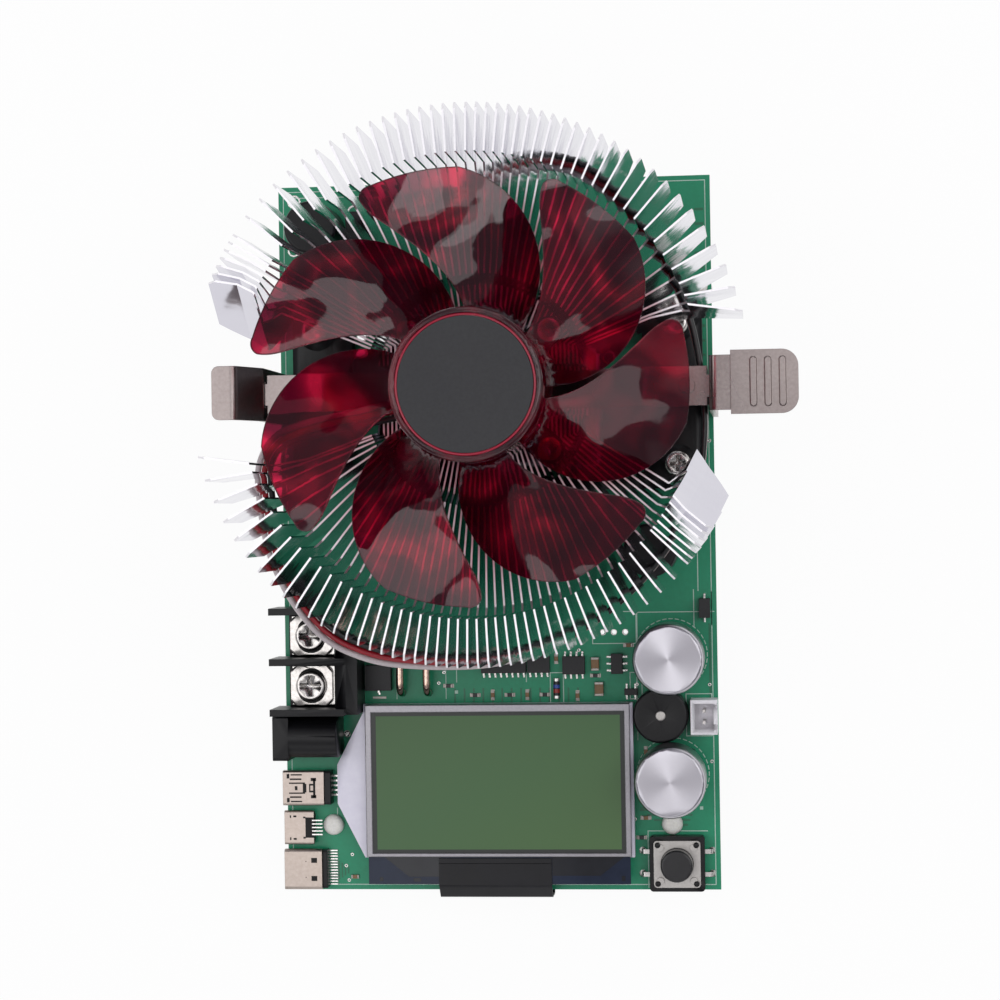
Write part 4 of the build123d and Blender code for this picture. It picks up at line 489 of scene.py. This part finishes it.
def repeat(name, shape, rows, finish, body="load_board"):
    """One piece of equal shapes. A row is x, y, height, then width, length, rise, and a turn in degrees."""
    points = bpy.data.meshes.new(name + "_points")
    points.from_pydata([on_board(*row[:3]) for row in rows], [], [])
    sizes = points.attributes.new("size", "FLOAT_VECTOR", "POINT")
    sizes.data.foreach_set("vector", [value * MM for row in rows for value in row[3:6]])
    turns = points.attributes.new("turn", "FLOAT_VECTOR", "POINT")
    turns.data.foreach_set("vector", [value for row in rows
                                      for value in (0, 0, math.radians(row[6] if len(row) > 6 else 0))])
    holder = bpy.data.objects.new(name + "_holder", points)
    bpy.context.scene.collection.objects.link(holder)
    modifier = holder.modifiers.new("repeat", "NODES")
    modifier.node_group = repeat_tree
    wanted = {"Shape": shape, "Finish": finishes[finish]}
    for item in repeat_tree.interface.items_tree:
        if item.in_out == "INPUT" and item.name in wanted:
            modifier[item.identifier] = wanted[item.name]
    evaluated = holder.evaluated_get(bpy.context.evaluated_depsgraph_get())
    mesh = bpy.data.meshes.new_from_object(evaluated)
    bpy.data.objects.remove(holder)
    return place_piece(name, mesh, body, finish)


print("repeating group:", len(nodes), "nodes")

# %% [markdown]
# ## The shapes to repeat
# A box with cut edges serves for parts that stand proud, and a plain one for thin layers. Pads, rings
# and solder cones are round, so a second function turns an outline about an axis.

# %% Unit shapes
def as_object(shape, name, smooth=0):
    """A bmesh as an object, smoothed across edges under an angle in degrees."""
    mesh = bpy.data.meshes.new(name)
    bmesh.ops.recalc_face_normals(shape, faces=shape.faces)
    shape.to_mesh(mesh)
    shape.free()
    if smooth:
        mesh.shade_smooth()
        mesh.set_sharp_from_angle(angle=math.radians(smooth))
    return bpy.data.objects.new(name, mesh)


def unit_box(cut):
    """A box one unit wide that stands on zero, with its upper edges cut a little."""
    shape = bmesh.new()
    bmesh.ops.create_cube(shape, size=1.0)
    bmesh.ops.translate(shape, vec=(0, 0, 0.5), verts=shape.verts)
    top = [e for e in shape.edges if all(v.co.z > 0.9 for v in e.verts)]
    bmesh.ops.bevel(shape, geom=top, offset=cut, segments=1, affect="EDGES")
    return as_object(shape, "unit_box")


def turned_shape(name, profile, segments=20, smooth=50):
    """A shape turned about Z from a closed outline of (radius, height) points."""
    shape = bmesh.new()
    loops = []
    for step in range(segments):
        angle = 2 * math.pi * step / segments
        loops.append([shape.verts.new((r * math.cos(angle), r * math.sin(angle), h)) for r, h in profile])
    for one, two in zip(loops, loops[1:] + loops[:1]):
        for k in range(len(profile)):
            n = (k + 1) % len(profile)
            # A point on the axis is the same in both loops, so it is taken once
            second = [two[corner] for corner in (k, n) if profile[corner][0] > 0]
            corners = [one[k], *second, one[n]]
            if len(corners) > 2:
                shape.faces.new(corners)
    bmesh.ops.remove_doubles(shape, verts=shape.verts, dist=1e-7)
    return as_object(shape, name, smooth)


box_shape = unit_box(0.06)
layer_shape = unit_box(0.001)
print("box of", len(box_shape.data.polygons), "faces")

# %% [markdown]
# ## Ink on the board
# Ink is printed in lines about 0.2 mm wide: a frame round the board, an outline round each part and a
# dashed circle round each knob. The words that the real ink also has are left off. The lines stand a
# few hundredths of a millimetre above the mask, as they do in life, so they catch light like ink.

# %% Ink lines
INK = 0.2
LOWER, UPPER, LEFT, RIGHT = ALL_SIDES = range(4)


def outline(x0, x1, y0, y1, width=INK):
    """The lower, upper, left and right line round a rectangle, as rows for repeat()."""
    mx, my, w, l = (x0 + x1) / 2, (y0 + y1) / 2, x1 - x0, y1 - y0
    return [(mx, y0, 0, w + width, width, 0.03), (mx, y1, 0, w + width, width, 0.03),
            (x0, my, 0, width, l - width, 0.03), (x1, my, 0, width, l - width, 0.03)]


half_width, half_length = ((board_high - board_low) / 2 / MM)[:2]
inset = 1.1
ink = outline(inset - half_width, half_width - inset, inset - half_length, half_length - inset)
part_outlines = [
    ((-46.4, -30.0, -38.4, -10.0), [UPPER]), ((30.3, 47.4, -45.6, -17.4), [UPPER, LEFT]),
    ((20.7, 30.5, -24.2, -17.2), ALL_SIDES), ((32.2, 45.2, -78.0, -65.4), [UPPER, LEFT]),
    ((41.0, 46.6, -44.6, -35.4), ALL_SIDES), ((-36.4, -30.4, -51.0, -50.0), [LOWER]),
    ((-23.0, -12.0, -36.2, -19.0), [LEFT, RIGHT]), ((-9.6, 5.9, -32.6, -24.0), [LEFT, RIGHT]),
    ((28.8, 31.4, -36.4, -30.6), ALL_SIDES), ((11.2, 14.1, -37.3, -30.5), ALL_SIDES),
    ((43.0, 46.9, -21.0, -12.4), [LEFT, RIGHT]), ((-36.8, -36.0, -66.0, -60.0), [LEFT]),
    ((44.0, 46.8, -13.0, 45.0), [LEFT]), ((-46.9, -20.0, 75.8, 75.9), [LOWER])]
ink += [outline(*box)[side] for box, sides in part_outlines for side in sides]
ink += [(x, y, 0, 0.7, 0.7, 0.03) for x, y in ((-9.7, -34.6), (44.0, -60.4))]
knob_places = [(37.9, -26.8), (37.9, -52.9)]
circle_radius, dash = 7.9, 0.95
ink += [(x + circle_radius * math.cos(math.radians(a)), y + circle_radius * math.sin(math.radians(a)),
         0, INK, dash, 0.03, a) for x, y in knob_places for a in range(0, 360, 10)]
repeat("ink_lines", box_shape, ink, "silk_ink")
print(len(ink), "ink lines")

# %% [markdown]
# ## Chip parts
# Resistors and capacitors without wires are little blocks of ceramic with a plated end on each side,
# soldered to two pads. The same few kinds of block make each of them, so each kind is one piece.

# %% Chip parts
small_parts = [(-5.5, -35.3), (-1.6, -35.3), (2.2, -35.3), (6.1, -35.3), (10.0, -35.3), (31.8, -62.5),
               (-7.6, -28.6), (9.2, -24.8), (-11.4, -33.2), (17.2, -35.6), (21.6, -37.4), (12.6, -27.4),
               (21.2, -31.2), (28.6, -24.6), (-13.2, -27.4), (32.0, -48.0), (30.8, -66.8), (-33.0, -75.4)]
upright = {1, 3, 9, 11, 15}
end_place, pad_place = 0.68, 0.884
bodies, ends, pads = [], [], []
for index, (x, y) in enumerate(small_parts):
    turn, dx, dy = (90, 0, 1) if index in upright else (0, 1, 0)
    bodies.append((x, y, 0.05, 0.95, 0.8, 0.42, turn))
    for side in (-1, 1):
        ends.append((x + side * end_place * dx, y + side * end_place * dy, 0.04, 0.36, 0.82, 0.46, turn))
        pads.append((x + side * pad_place * dx, y + side * pad_place * dy, 0, 0.6, 0.85, 0.035, turn))
repeat("chip_part_bodies", box_shape, bodies[::2], "chip_black")
repeat("chip_part_bodies_brown", box_shape, bodies[1::2], "chip_brown")
repeat("chip_part_ends", box_shape, ends, "plated_end")

large_parts = [(21.2, -28.6, 2.0, 1.7), (22.0, -34.1, 2.1, 1.9)]
repeat("large_chip_bodies", box_shape, [(x, y, 0.05, w, l, 1.2) for x, y, l, w in large_parts],
       "chip_brown")
repeat("large_chip_ends", box_shape, [(x, y + side * (l / 2 + 0.2), 0.04, w + 0.06, 0.5, 1.25)
                                      for x, y, l, w in large_parts for side in (-1, 1)],
       "plated_end")
print(len(bodies), "small and", len(large_parts), "large chip parts")

# %% [markdown]
# ## Tracks, small holes and pads
# Copper under the mask shows as slightly raised shapes of another green. Small plated holes join the
# board's two sides, and larger bare rings wait for parts that aren't fitted. Most tracks lie in rows
# of equal steps, so each row is written as its first track and what the next ones add to it.

# %% Tracks, holes and pads
track_rows = [  # count, first (x, y, width, length), step (x, y, width, length)
    (3, (-42.0, -40.0, 8.0, 0.45), (0, -0.9, 0, 0)), (4, (36.5, -60.8, 12.0, 0.5), (0.5, -1.1, -2, 0)),
    (9, (31.6, -50.0, 1.6, 0.5), (0, -1.3, 0, 0)), (6, (-38.0, -74.0, 0.4, 6.0), (0.7, 0, 0, -0.9)),
    (14, (-10.0, -35.4, 0.4, 3.2), (2.1, 0, 0, 0)), (20, (45.5, 10.0, 2.0, 0.6), (0, 3.2, 0, 0)),
    (8, (-46.0, -2.0, 2.2, 0.6), (0, 3.4, 0, 0)), (10, (-20.0, 76.9, 4.2, 0.5), (6.0, 0, 0, 0)),
    (1, (46.4, -30.0, 0.5, 20.0), (0, 0, 0, 0)), (1, (44.9, 30.0, 0.5, 34.0), (0, 0, 0, 0))]
tracks = []
for count, first, step in track_rows:
    for k in range(count):
        x, y, w, l = (start + k * more for start, more in zip(first, step))
        tracks.append((x, y, 0.005, w, l, 0.02))
repeat("copper_tracks", box_shape, tracks, "mask_on_copper")

vias = [(-35.0, -73.0), (-33.6, -70.5), (-34.4, -76.2), (31.4, -55.8), (32.2, -56.9), (31.2, -57.6),
        (-12.4, -30.2), (-13.6, -32.6), (-11.6, -26.2), (24.4, -37.6), (30.3, -33.2), (17.6, -25.6),
        (43.4, -24.6), (46.4, -50.2), (46.2, -33.4), (29.4, -62.8), (-36.0, -40.2), (47.0, 20.0),
        (46.6, 2.0), (-46.6, 18.0), (-10.0, 76.4), (14.0, 75.0), (38.0, 74.0), (-46.4, -8.0)]
via_shape = turned_shape("via", [(0.4, 0.4), (0.4, 0), (1.0, 0), (1.0, 0.6), (0.8, 1.0), (0.5, 1.0)], 14)
repeat("plated_vias", via_shape, [(x, y, 0, 0.42, 0.42, 0.05) for x, y in vias], "solder")

holes = [(-44.5, 75.0, 1.1), (-31.0, 72.4, 1.1), (-44.7, 64.1, 1.0), (34.1, 50.7, 1.0), (25.5, 39.0, 1.0),
         (-34.6, 44.9, 1.1), (-29.8, 44.8, 1.1), (-24.9, 44.6, 1.1), (-42.1, 40.4, 1.0),
         (-34.9, 40.2, 1.1), (-29.9, 40.1, 1.1), (23.0, -21.7, 0.5), (25.4, -21.7, 0.5),
         (27.9, -21.7, 0.5)]
pad_share = 1.38  # a ring's outer radius as a share of its hole's
ring_shape = turned_shape("pad_ring", [(0.72, 0), (1.0, 0), (1.0, 0.8), (0.96, 1.0), (0.72, 1.0)])
repeat("pad_rings", ring_shape, [(x, y, 0, pad_share * r, pad_share * r, 0.05) for x, y, r in holes],
       "solder")
# The last chip part's pads don't show, and one longer pad lies bare beside the bridges
shown_pads = pads[:-2] + [(-26.9, -35.7, 0, 3.0, 0.5, 0.04)]
repeat("part_pads", box_shape, shown_pads, "plated_end")
print(len(tracks), "tracks,", len(vias), "vias and", len(holes), "pads with holes")

# %% [markdown]
# ## A small glass diode
# It lies in a printed box: a rod with metal ends, and a blue and a red band for its value. One rod
# shape, with rounded rims, is scaled for all of them.

# %% Glass diode
def unit_rod(segments=20):
    """A rod one unit long and thick, lying along Y on the height zero, with rounded rims."""
    shape = bmesh.new()
    made = bmesh.ops.create_cone(shape, cap_ends=True, segments=segments, radius1=0.5, radius2=0.5,
                                 depth=1.0)
    bmesh.ops.rotate(shape, verts=made["verts"], cent=(0, 0, 0),
                     matrix=Matrix.Rotation(math.pi / 2, 3, "X"))
    bmesh.ops.translate(shape, verts=made["verts"], vec=(0, 0, 0.5))
    rims = [e for e in shape.edges if abs(e.verts[0].co.y - e.verts[1].co.y) < 1e-6]
    bmesh.ops.bevel(shape, geom=rims, offset=0.05, segments=2, affect="EDGES")
    return as_object(shape, "unit_rod", 50)


rod_shape = unit_rod()
diode_x, diode_y = 12.65, -33.9
diode_pieces = [  # name, places along the rod, height, thickness, length, slot, finish
    ("diode_body", [0], 0.05, 1.4, 3.4, "black_epoxy", "chip_black"),
    ("diode_ends", [-1.9, 1.9], 0.0, 1.55, 0.7, "tinned_copper", "solder"),
    ("diode_band_blue", [0.45], 0.03, 1.44, 0.8, "black_epoxy", "band_blue"),
    ("diode_band_red", [-0.55], 0.03, 1.44, 0.9, "black_epoxy", "band_red")]
for name, places, height, thick, length, slot, finish in diode_pieces:
    repeat(name, rod_shape, [(diode_x, diode_y + along, height, thick, length, thick) for along in places],
           finish)
print("diode of", len(diode_pieces), "pieces")

# %% [markdown]
# ## Sockets for the cables
# Each steel shell has spring tongues cut out of its top, seen as dark windows, and solder tails at the
# rear. The windows are given from each shell's left rear corner, in mm. They are thin dark layers of
# painted shade on the shell, in place of holes, because holes so small need only their colour.

# %% Socket windows and tails
socket_cuts = {
    "mini_socket_shell": [
        (1.8, 4.3, 0.75, 1.05), (0.9, 1.5, 0.7, 1.7), (1.6, 4.2, 1.7, 2.05), (1.8, 4.3, 6.65, 6.95),
        (0.9, 1.5, 6.0, 7.0), (1.6, 4.2, 5.65, 6.0), (1.4, 5.0, 2.6, 2.9), (1.4, 5.0, 4.8, 5.1),
        (4.5, 5.3, 2.9, 4.8), (2.7, 3.3, 3.4, 4.3), (5.9, 6.2, 2.9, 4.8), (6.2, 6.8, 2.9, 3.3),
        (6.2, 6.8, 4.4, 4.8), (6.8, 7.3, 1.8, 5.9), (6.3, 7.5, 1.6, 2.3), (6.3, 7.5, 5.4, 6.1)],
    "micro_socket_shell": [
        (1.2, 1.5, 1.0, 1.6), (2.0, 2.7, 1.05, 1.45), (1.2, 1.5, 5.9, 6.5), (2.0, 2.7, 6.05, 6.45),
        (4.7, 6.6, 1.5, 6.0), (4.2, 4.7, 1.3, 1.7), (4.2, 4.7, 5.8, 6.2)],
    "type_c_socket_shell": [
        (6.0, 7.3, 1.9, 3.0), (6.0, 7.3, 5.9, 7.0), (4.7, 4.9, 2.6, 2.8), (4.7, 4.9, 6.1, 6.3)]}
windows = []
for node, cuts in socket_cuts.items():
    low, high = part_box(node)
    left, (_, rear, top) = in_mm(low)[0], in_mm(high)
    windows += [(left + (x0 + x1) / 2, rear - (y0 + y1) / 2, top - 0.01, x1 - x0, y1 - y0, 0.03)
                for x0, x1, y0, y1 in cuts]
# Painted shade: the windows are flat dark layers, not holes
repeat("socket_windows", layer_shape, windows, "painted_shade_dark")
tails = [(-37.9, -69.6 - 0.62 * k, 0.0, 2.2, 0.32, 0.25) for k in range(13)]
tails += [(-37.0, -53.0 - 1.05 * k, 0.0, 1.3, 0.45, 0.25) for k in range(5)]
tails += [(-40.9, -62.6 - 0.78 * k, 2.63, 2.4, 0.3, 0.1) for k in range(5)]
repeat("socket_tails", box_shape, tails, "solder")
for name, row in (("mini_socket_rear", (-38.35, -55.3, 0.0, 1.5, 7.4, 3.5)),
                  ("type_c_rear", (-39.35, -73.4, 0.0, 1.1, 8.4, 2.6))):
    repeat(name, box_shape, [row], "black_moulding")
print(len(windows), "windows and", len(tails), "tails")

# %% [markdown]
# ## Shadow gaps round the clamp screws
# Each clamp plate is dished round its screw, and the shade there is painted as two dark crescents.
# They are flat arcs that ride with the plate, so they lift with it.

# %% Crescents
def arcs(inner, outer, spans, steps=14):
    """Flat arcs about Z with thin ends: inner and outer radius, and (start, end) angles in degrees."""
    shape = bmesh.new()
    for start, end in spans:
        rows = []
        for step in range(steps + 1):
            angle = math.radians(start + (end - start) * step / steps)
            from_middle = abs(2 * step / steps - 1)
            rim = outer - (outer - inner) * 0.8 * from_middle ** 3
            rows.append([shape.verts.new((r * math.cos(angle), r * math.sin(angle), h))
                         for r, h in ((inner, 0), (rim, 0), (rim, 1), (inner, 1))])
        for one, two in zip(rows, rows[1:]):
            for k in range(4):
                shape.faces.new([one[k], one[(k + 1) % 4], two[(k + 1) % 4], two[k]])
        shape.faces.new(rows[0])
        shape.faces.new(rows[-1][::-1])
    return as_object(shape, "arcs")


# Painted shade: two dark crescents on each clamp plate
crescent_shape = arcs(3.15, 3.85, [(25, 155), (205, 335)])
for side in ("positive", "negative"):
    x, y, _ = top_middle("terminal_screw_" + side)
    plate_top = top_middle("clamp_plate_" + side)[2]
    repeat("clamp_crescents_" + side, crescent_shape, [(x, y, plate_top, 1, 1, 0.04)],
           "painted_shade_dark", "clamp_" + side)
print("crescents on plates at the height", round(plate_top, 2))

# %% [markdown]
# ## Solder under the board
# Every pin that comes through the board ends in a small cone of solder. The pins' places are read from
# the CAD nodes: the corners below the board are gathered into groups, one group for each pin. A list
# typed by hand would be wrong as soon as a part moved.

# %% Solder cones
def pin_places(node, reach=1.3):
    """Middles in mm of the pins of a node that stick out under the board."""
    places = []
    for vertex in frame["nodes"][node].data.vertices:
        if vertex.co.z < board_low.z - 0.1 * MM:
            x, y, _ = in_mm(vertex.co)
            for group in places:
                if math.hypot(group[0][0] - x, group[0][1] - y) < reach:
                    group.append((x, y))
                    break
            else:
                places.append([(x, y)])
    return [(sum(p[0] for p in group) / len(group), sum(p[1] for p in group) / len(group))
            for group in places]


pinned = ["power_transistors", "terminal_contacts", "power_contacts", "switch_leads", "potentiometers",
          "sensor_pins", "capacitors", "sensing_bridges", "buzzer"]
pins = [place for node in pinned for place in pin_places(node)]
cone_shape = turned_shape("solder_cone", [(0, 0), (1.0, 0), (1.0, -0.08), (0.72, -0.3), (0.5, -0.75),
                                          (0.34, -1.0), (0, -1.0)], 18, 60)
cone_radius, board_bottom = 1.25, in_mm(board_low)[2]
repeat("solder_cones", cone_shape, [(x, y, board_bottom, cone_radius, cone_radius, 1.0) for x, y in pins],
       "solder")
print(len(pins), "solder cones")

# %% [markdown]
# ## The hub's rings
# Between the black disc and the dark printed rim the bare red plastic shows as a thin bright ring.
# Ring and rim are turned shapes that ride with the fan. They lie a little below the disc's top.

# %% Hub rings
hub_x, hub_y, hub_top = top_middle("hub_disc")
ring_place = (hub_x, hub_y, hub_top - 0.42, 1, 1, 1)
hub_rings = [("hub_ring_line", "red_clear_plastic", "bright_red",
              [(13.5, 0), (14.0, 0), (14.0, 0.1), (13.9, 0.16), (13.6, 0.16), (13.5, 0.1)]),
             ("hub_dark_rim", "hub_label_black", "hub_label_black",
              [(14.15, 0), (15.0, 0), (14.95, 0.12), (14.85, 0.18), (14.25, 0.18), (14.15, 0.12)])]
for name, slot, finish, profile in hub_rings:
    repeat(name, turned_shape(name + "_shape", profile, 96, 60), [ring_place], finish, "fan_rotor")
print("hub top at", round(hub_top, 2))

# %% [markdown]
# ## The display
# The film, with its painted light, lies on the glass inside the bezel's window, with a thin black line
# round it. The bezel is one frame, lofted through six rectangles, with its upper edges cut. The glass in
# front of it is bare and slate blue. It carries the fine tracks that run from the picture to the flat
# cable, drawn as dark areas with a slanted side, and three small marks.

# %% Display shapes
def window_frame(name, outer, inner, bottom, top, cut=0.15):
    """A rectangular frame with its upper edges cut: outer and inner are x0, x1, y0, y1 in mm."""
    shape = bmesh.new()
    loops = []
    for (x0, x1, y0, y1), height, c in ((outer, bottom, 0), (outer, top - cut, 0), (outer, top, cut),
                                        (inner, top, -cut), (inner, top - cut, 0), (inner, bottom, 0)):
        loops.append([shape.verts.new(on_board(x, y, height)) for x, y in
                      ((x0 + c, y0 + c), (x1 - c, y0 + c), (x1 - c, y1 - c), (x0 + c, y1 - c))])
    for one, two in zip(loops, loops[1:] + loops[:1]):
        for k in range(4):
            shape.faces.new([one[k], one[(k + 1) % 4], two[(k + 1) % 4], two[k]])
    return as_object(shape, name + "_shape").data


def flat_areas(name, outlines, height, rise):
    """Thin flat areas as one mesh, each from its corners in mm, anticlockwise."""
    shape = bmesh.new()
    for corners in outlines:
        low, high = ([shape.verts.new(on_board(x, y, h)) for x, y in corners]
                     for h in (height, height + rise))
        shape.faces.new(high)
        shape.faces.new(low[::-1])
        for k in range(len(corners)):
            n = (k + 1) % len(corners)
            shape.faces.new([low[k], low[n], high[n], high[k]])
    return as_object(shape, name + "_shape").data


bezel_top, glass_top, flex_top = (top_middle("display_" + part)[2] for part in ("bezel", "glass", "flex"))
flex_thickness = 0.35
ledge_top = flex_top - flex_thickness
print("bezel, glass and ledge tops:", [round(h, 2) for h in (bezel_top, glass_top, ledge_top)])

# %% The display
film_width, film_length = 53.6, 29.2
repeat("lcd_film_sheet", layer_shape, [(0.0, -53.9, glass_top, film_width, film_length, 0.06)],
       "lcd_film")
border = outline(-27.4, 27.35, -69.0, -38.8, 1.2)
repeat("lcd_border", layer_shape, [(x, y, glass_top, w, l, 0.05) for x, y, _, w, l, _ in border],
       "gap_black")
bezel_outside, bezel_window, bezel_foot = (-29.2, 28.9, -70.1, -36.85), (-27.8, 27.7, -69.25, -38.5), 4.5
bezel_mesh = window_frame("display_bezel_frame", bezel_outside, bezel_window, bezel_foot, bezel_top)
place_piece("display_bezel_frame", bezel_mesh, "load_board", "nickel_plated_frame",
            ["display_bezel"])
track_areas = [[(-25.8, -70.0), (-20.1, -74.6), (-13.0, -74.6), (-13.0, -70.0)],
               [(11.5, -70.0), (11.5, -74.4), (22.0, -74.4), (27.6, -70.0)],
               [(-26.6, -75.6), (-25.8, -75.6), (-25.8, -74.7), (-26.6, -74.7)],
               [(-19.1, -75.7), (-17.4, -75.7), (-17.4, -74.9), (-19.1, -74.9)],
               [(26.6, -75.6), (27.4, -75.6), (27.4, -74.4), (26.6, -74.4)]]
place_piece("ledge_track_area", flat_areas("ledge_track_area", track_areas, ledge_top, 0.03),
            "load_board", "ledge_tracks")
repeat("flex_start", layer_shape, [(-1.0, -71.15, ledge_top, 24.8, 1.2, flex_thickness)],
       "flex_black")
print("film of", film_width, "by", film_length, "mm")

# %% [markdown]
# ## The button's pegs and the buzzer's plate
# Four melted pegs of the black base hold the switch's metal plate, one near each corner. The buzzer's
# metal plate shows as a small grey disc in the hole of its case. A low turned dome makes both.

# %% Switch pegs and buzzer plate
peg_shape = turned_shape("peg", [(0, 0), (1.0, 0), (1.0, 0.6), (0.8, 0.9), (0.4, 1.0), (0, 1.0)], 18, 60)
plate_x, plate_y, plate_top = top_middle("switch_cover")
peg_place, peg_radius = 4.2, 0.62
repeat("switch_pegs", peg_shape, [(plate_x + peg_place * i, plate_y + peg_place * j, plate_top - 0.1,
                                   peg_radius, peg_radius, 0.4) for i in (-1, 1) for j in (-1, 1)],
       "black_moulding")
buzzer_x, buzzer_y, buzzer_top = top_middle("buzzer")
disc_radius = 1.1
repeat("buzzer_plate", peg_shape, [(buzzer_x, buzzer_y, buzzer_top - 0.05, disc_radius, disc_radius, 0.1)],
       "satin_plate")
print("pegs at the height", round(plate_top, 2))

# %% [markdown]
# ## The floor
# The floor is a plain pale sheet. Seen straight by the camera, or in a reflection, it shines a plain
# white mixed with its lit surface, so the ground is white and still keeps a soft shadow. More light
# would whiten it too, but would burn out the pale parts of the object.

# %% Floor
glow_share, half_size, gap = 0.94, 3, 0.2 * MM
tree = new_finish("floor_paper")
ray = add(tree, "LightPath")
direct = add(tree, "Math", {0: ray.outputs["Is Camera Ray"], 1: ray.outputs["Is Glossy Ray"]},
             operation="MAXIMUM")
seen = add(tree, "Math", {0: direct.outputs[0], 1: ray.outputs["Is Transmission Ray"]},
           operation="MAXIMUM")
share = add(tree, "Math", {0: seen.outputs[0], 1: glow_share}, operation="MULTIPLY")
paper = add(tree, "BsdfPrincipled", {"Base Color": linear("#f4f4f4"), "Roughness": 0.9})
glow = add(tree, "Emission", {"Color": (1, 1, 1, 1), "Strength": 1.0})
mix = add(tree, "MixShader", {0: share.outputs[0], 1: paper.outputs[0], 2: glow.outputs[0]})
add(tree, "OutputMaterial", {"Surface": mix.outputs[0]})
floor_mesh = bpy.data.meshes.new("floor")
floor_mesh.from_pydata([(half_size * i, half_size * j, 0) for i, j in ((-1, -1), (1, -1), (1, 1), (-1, 1))],
                       [], [(0, 1, 2, 3)])
floor_mesh.materials.append(finishes["floor_paper"])
floor = bpy.data.objects.new("floor", floor_mesh)
floor.location.z = -gap
bpy.context.scene.collection.objects.link(floor)
print("floor of", 2 * half_size, "m")

# %% [markdown]
# ## World and lamps
# Six large soft lamps hang above, as in a product studio. The room is pale straight above, which keeps
# level metal bright, and dark round that, so that the lamps show as clear shapes in tilted shiny
# faces. It is pale again near the ground. Behind the object the camera sees plain white.

# %% World and lamps
world = bpy.data.worlds.new("studio")
bpy.context.scene.world = world
world.use_nodes = True
tree = world.node_tree
tree.nodes.clear()
facing = add(tree, "SeparateXYZ", {"Vector": add(tree, "TexCoord").outputs["Generated"]})
room = add(tree, "ValToRGB", {"Fac": facing.outputs["Z"]},
           ramp=[(0.0, "#d8d8dc"), (1.0, "#e6e4e8"), (0.24, "#dfdfe3"),
                 (0.26, "#909096"), (0.8, "#88888f"), (0.93, "#e6e4e8")])
sky = add(tree, "Background", {"Color": room.outputs[0], "Strength": 0.92})
white = add(tree, "Background", {"Color": (1, 1, 1, 1), "Strength": 1.0})
watched = add(tree, "LightPath").outputs["Is Camera Ray"]
backdrop = add(tree, "MixShader", {0: watched, 1: sky.outputs[0], 2: white.outputs[0]})
add(tree, "OutputWorld", {"Surface": backdrop.outputs[0]})

lamps = [  # name, place in m, width and length in m, power in W
    ("left_lamp", (-0.62, 0.2, 0.62), 0.4, 0.55, 1.0), ("right_lamp", (0.62, 0.2, 0.62), 0.4, 0.55, 1.0),
    ("front_lamp", (0.0, -0.75, 0.55), 0.75, 0.35, 1.0), ("rear_lamp", (0.1, 0.8, 0.6), 0.6, 0.35, 1.1),
    ("upper_left_lamp", (-0.42, -0.1, 0.95), 0.45, 0.6, 1.3),
    ("upper_right_lamp", (0.42, 0.1, 0.95), 0.45, 0.6, 1.3)]
aim = Vector((0, 0, 0.03))
for name, place, width, length, power in lamps:
    lamp_data = bpy.data.lights.new(name, "AREA")
    lamp_data.shape = "RECTANGLE"
    lamp_data.size, lamp_data.size_y, lamp_data.energy = width, length, power
    lamp = bpy.data.objects.new(name, lamp_data)
    lamp.location = place
    lamp.rotation_euler = (aim - Vector(place)).to_track_quat("-Z", "Y").to_euler()
    bpy.context.scene.collection.objects.link(lamp)
bpy.context.scene.view_settings.view_transform = "Standard"
print(len(lamps), "lamps")
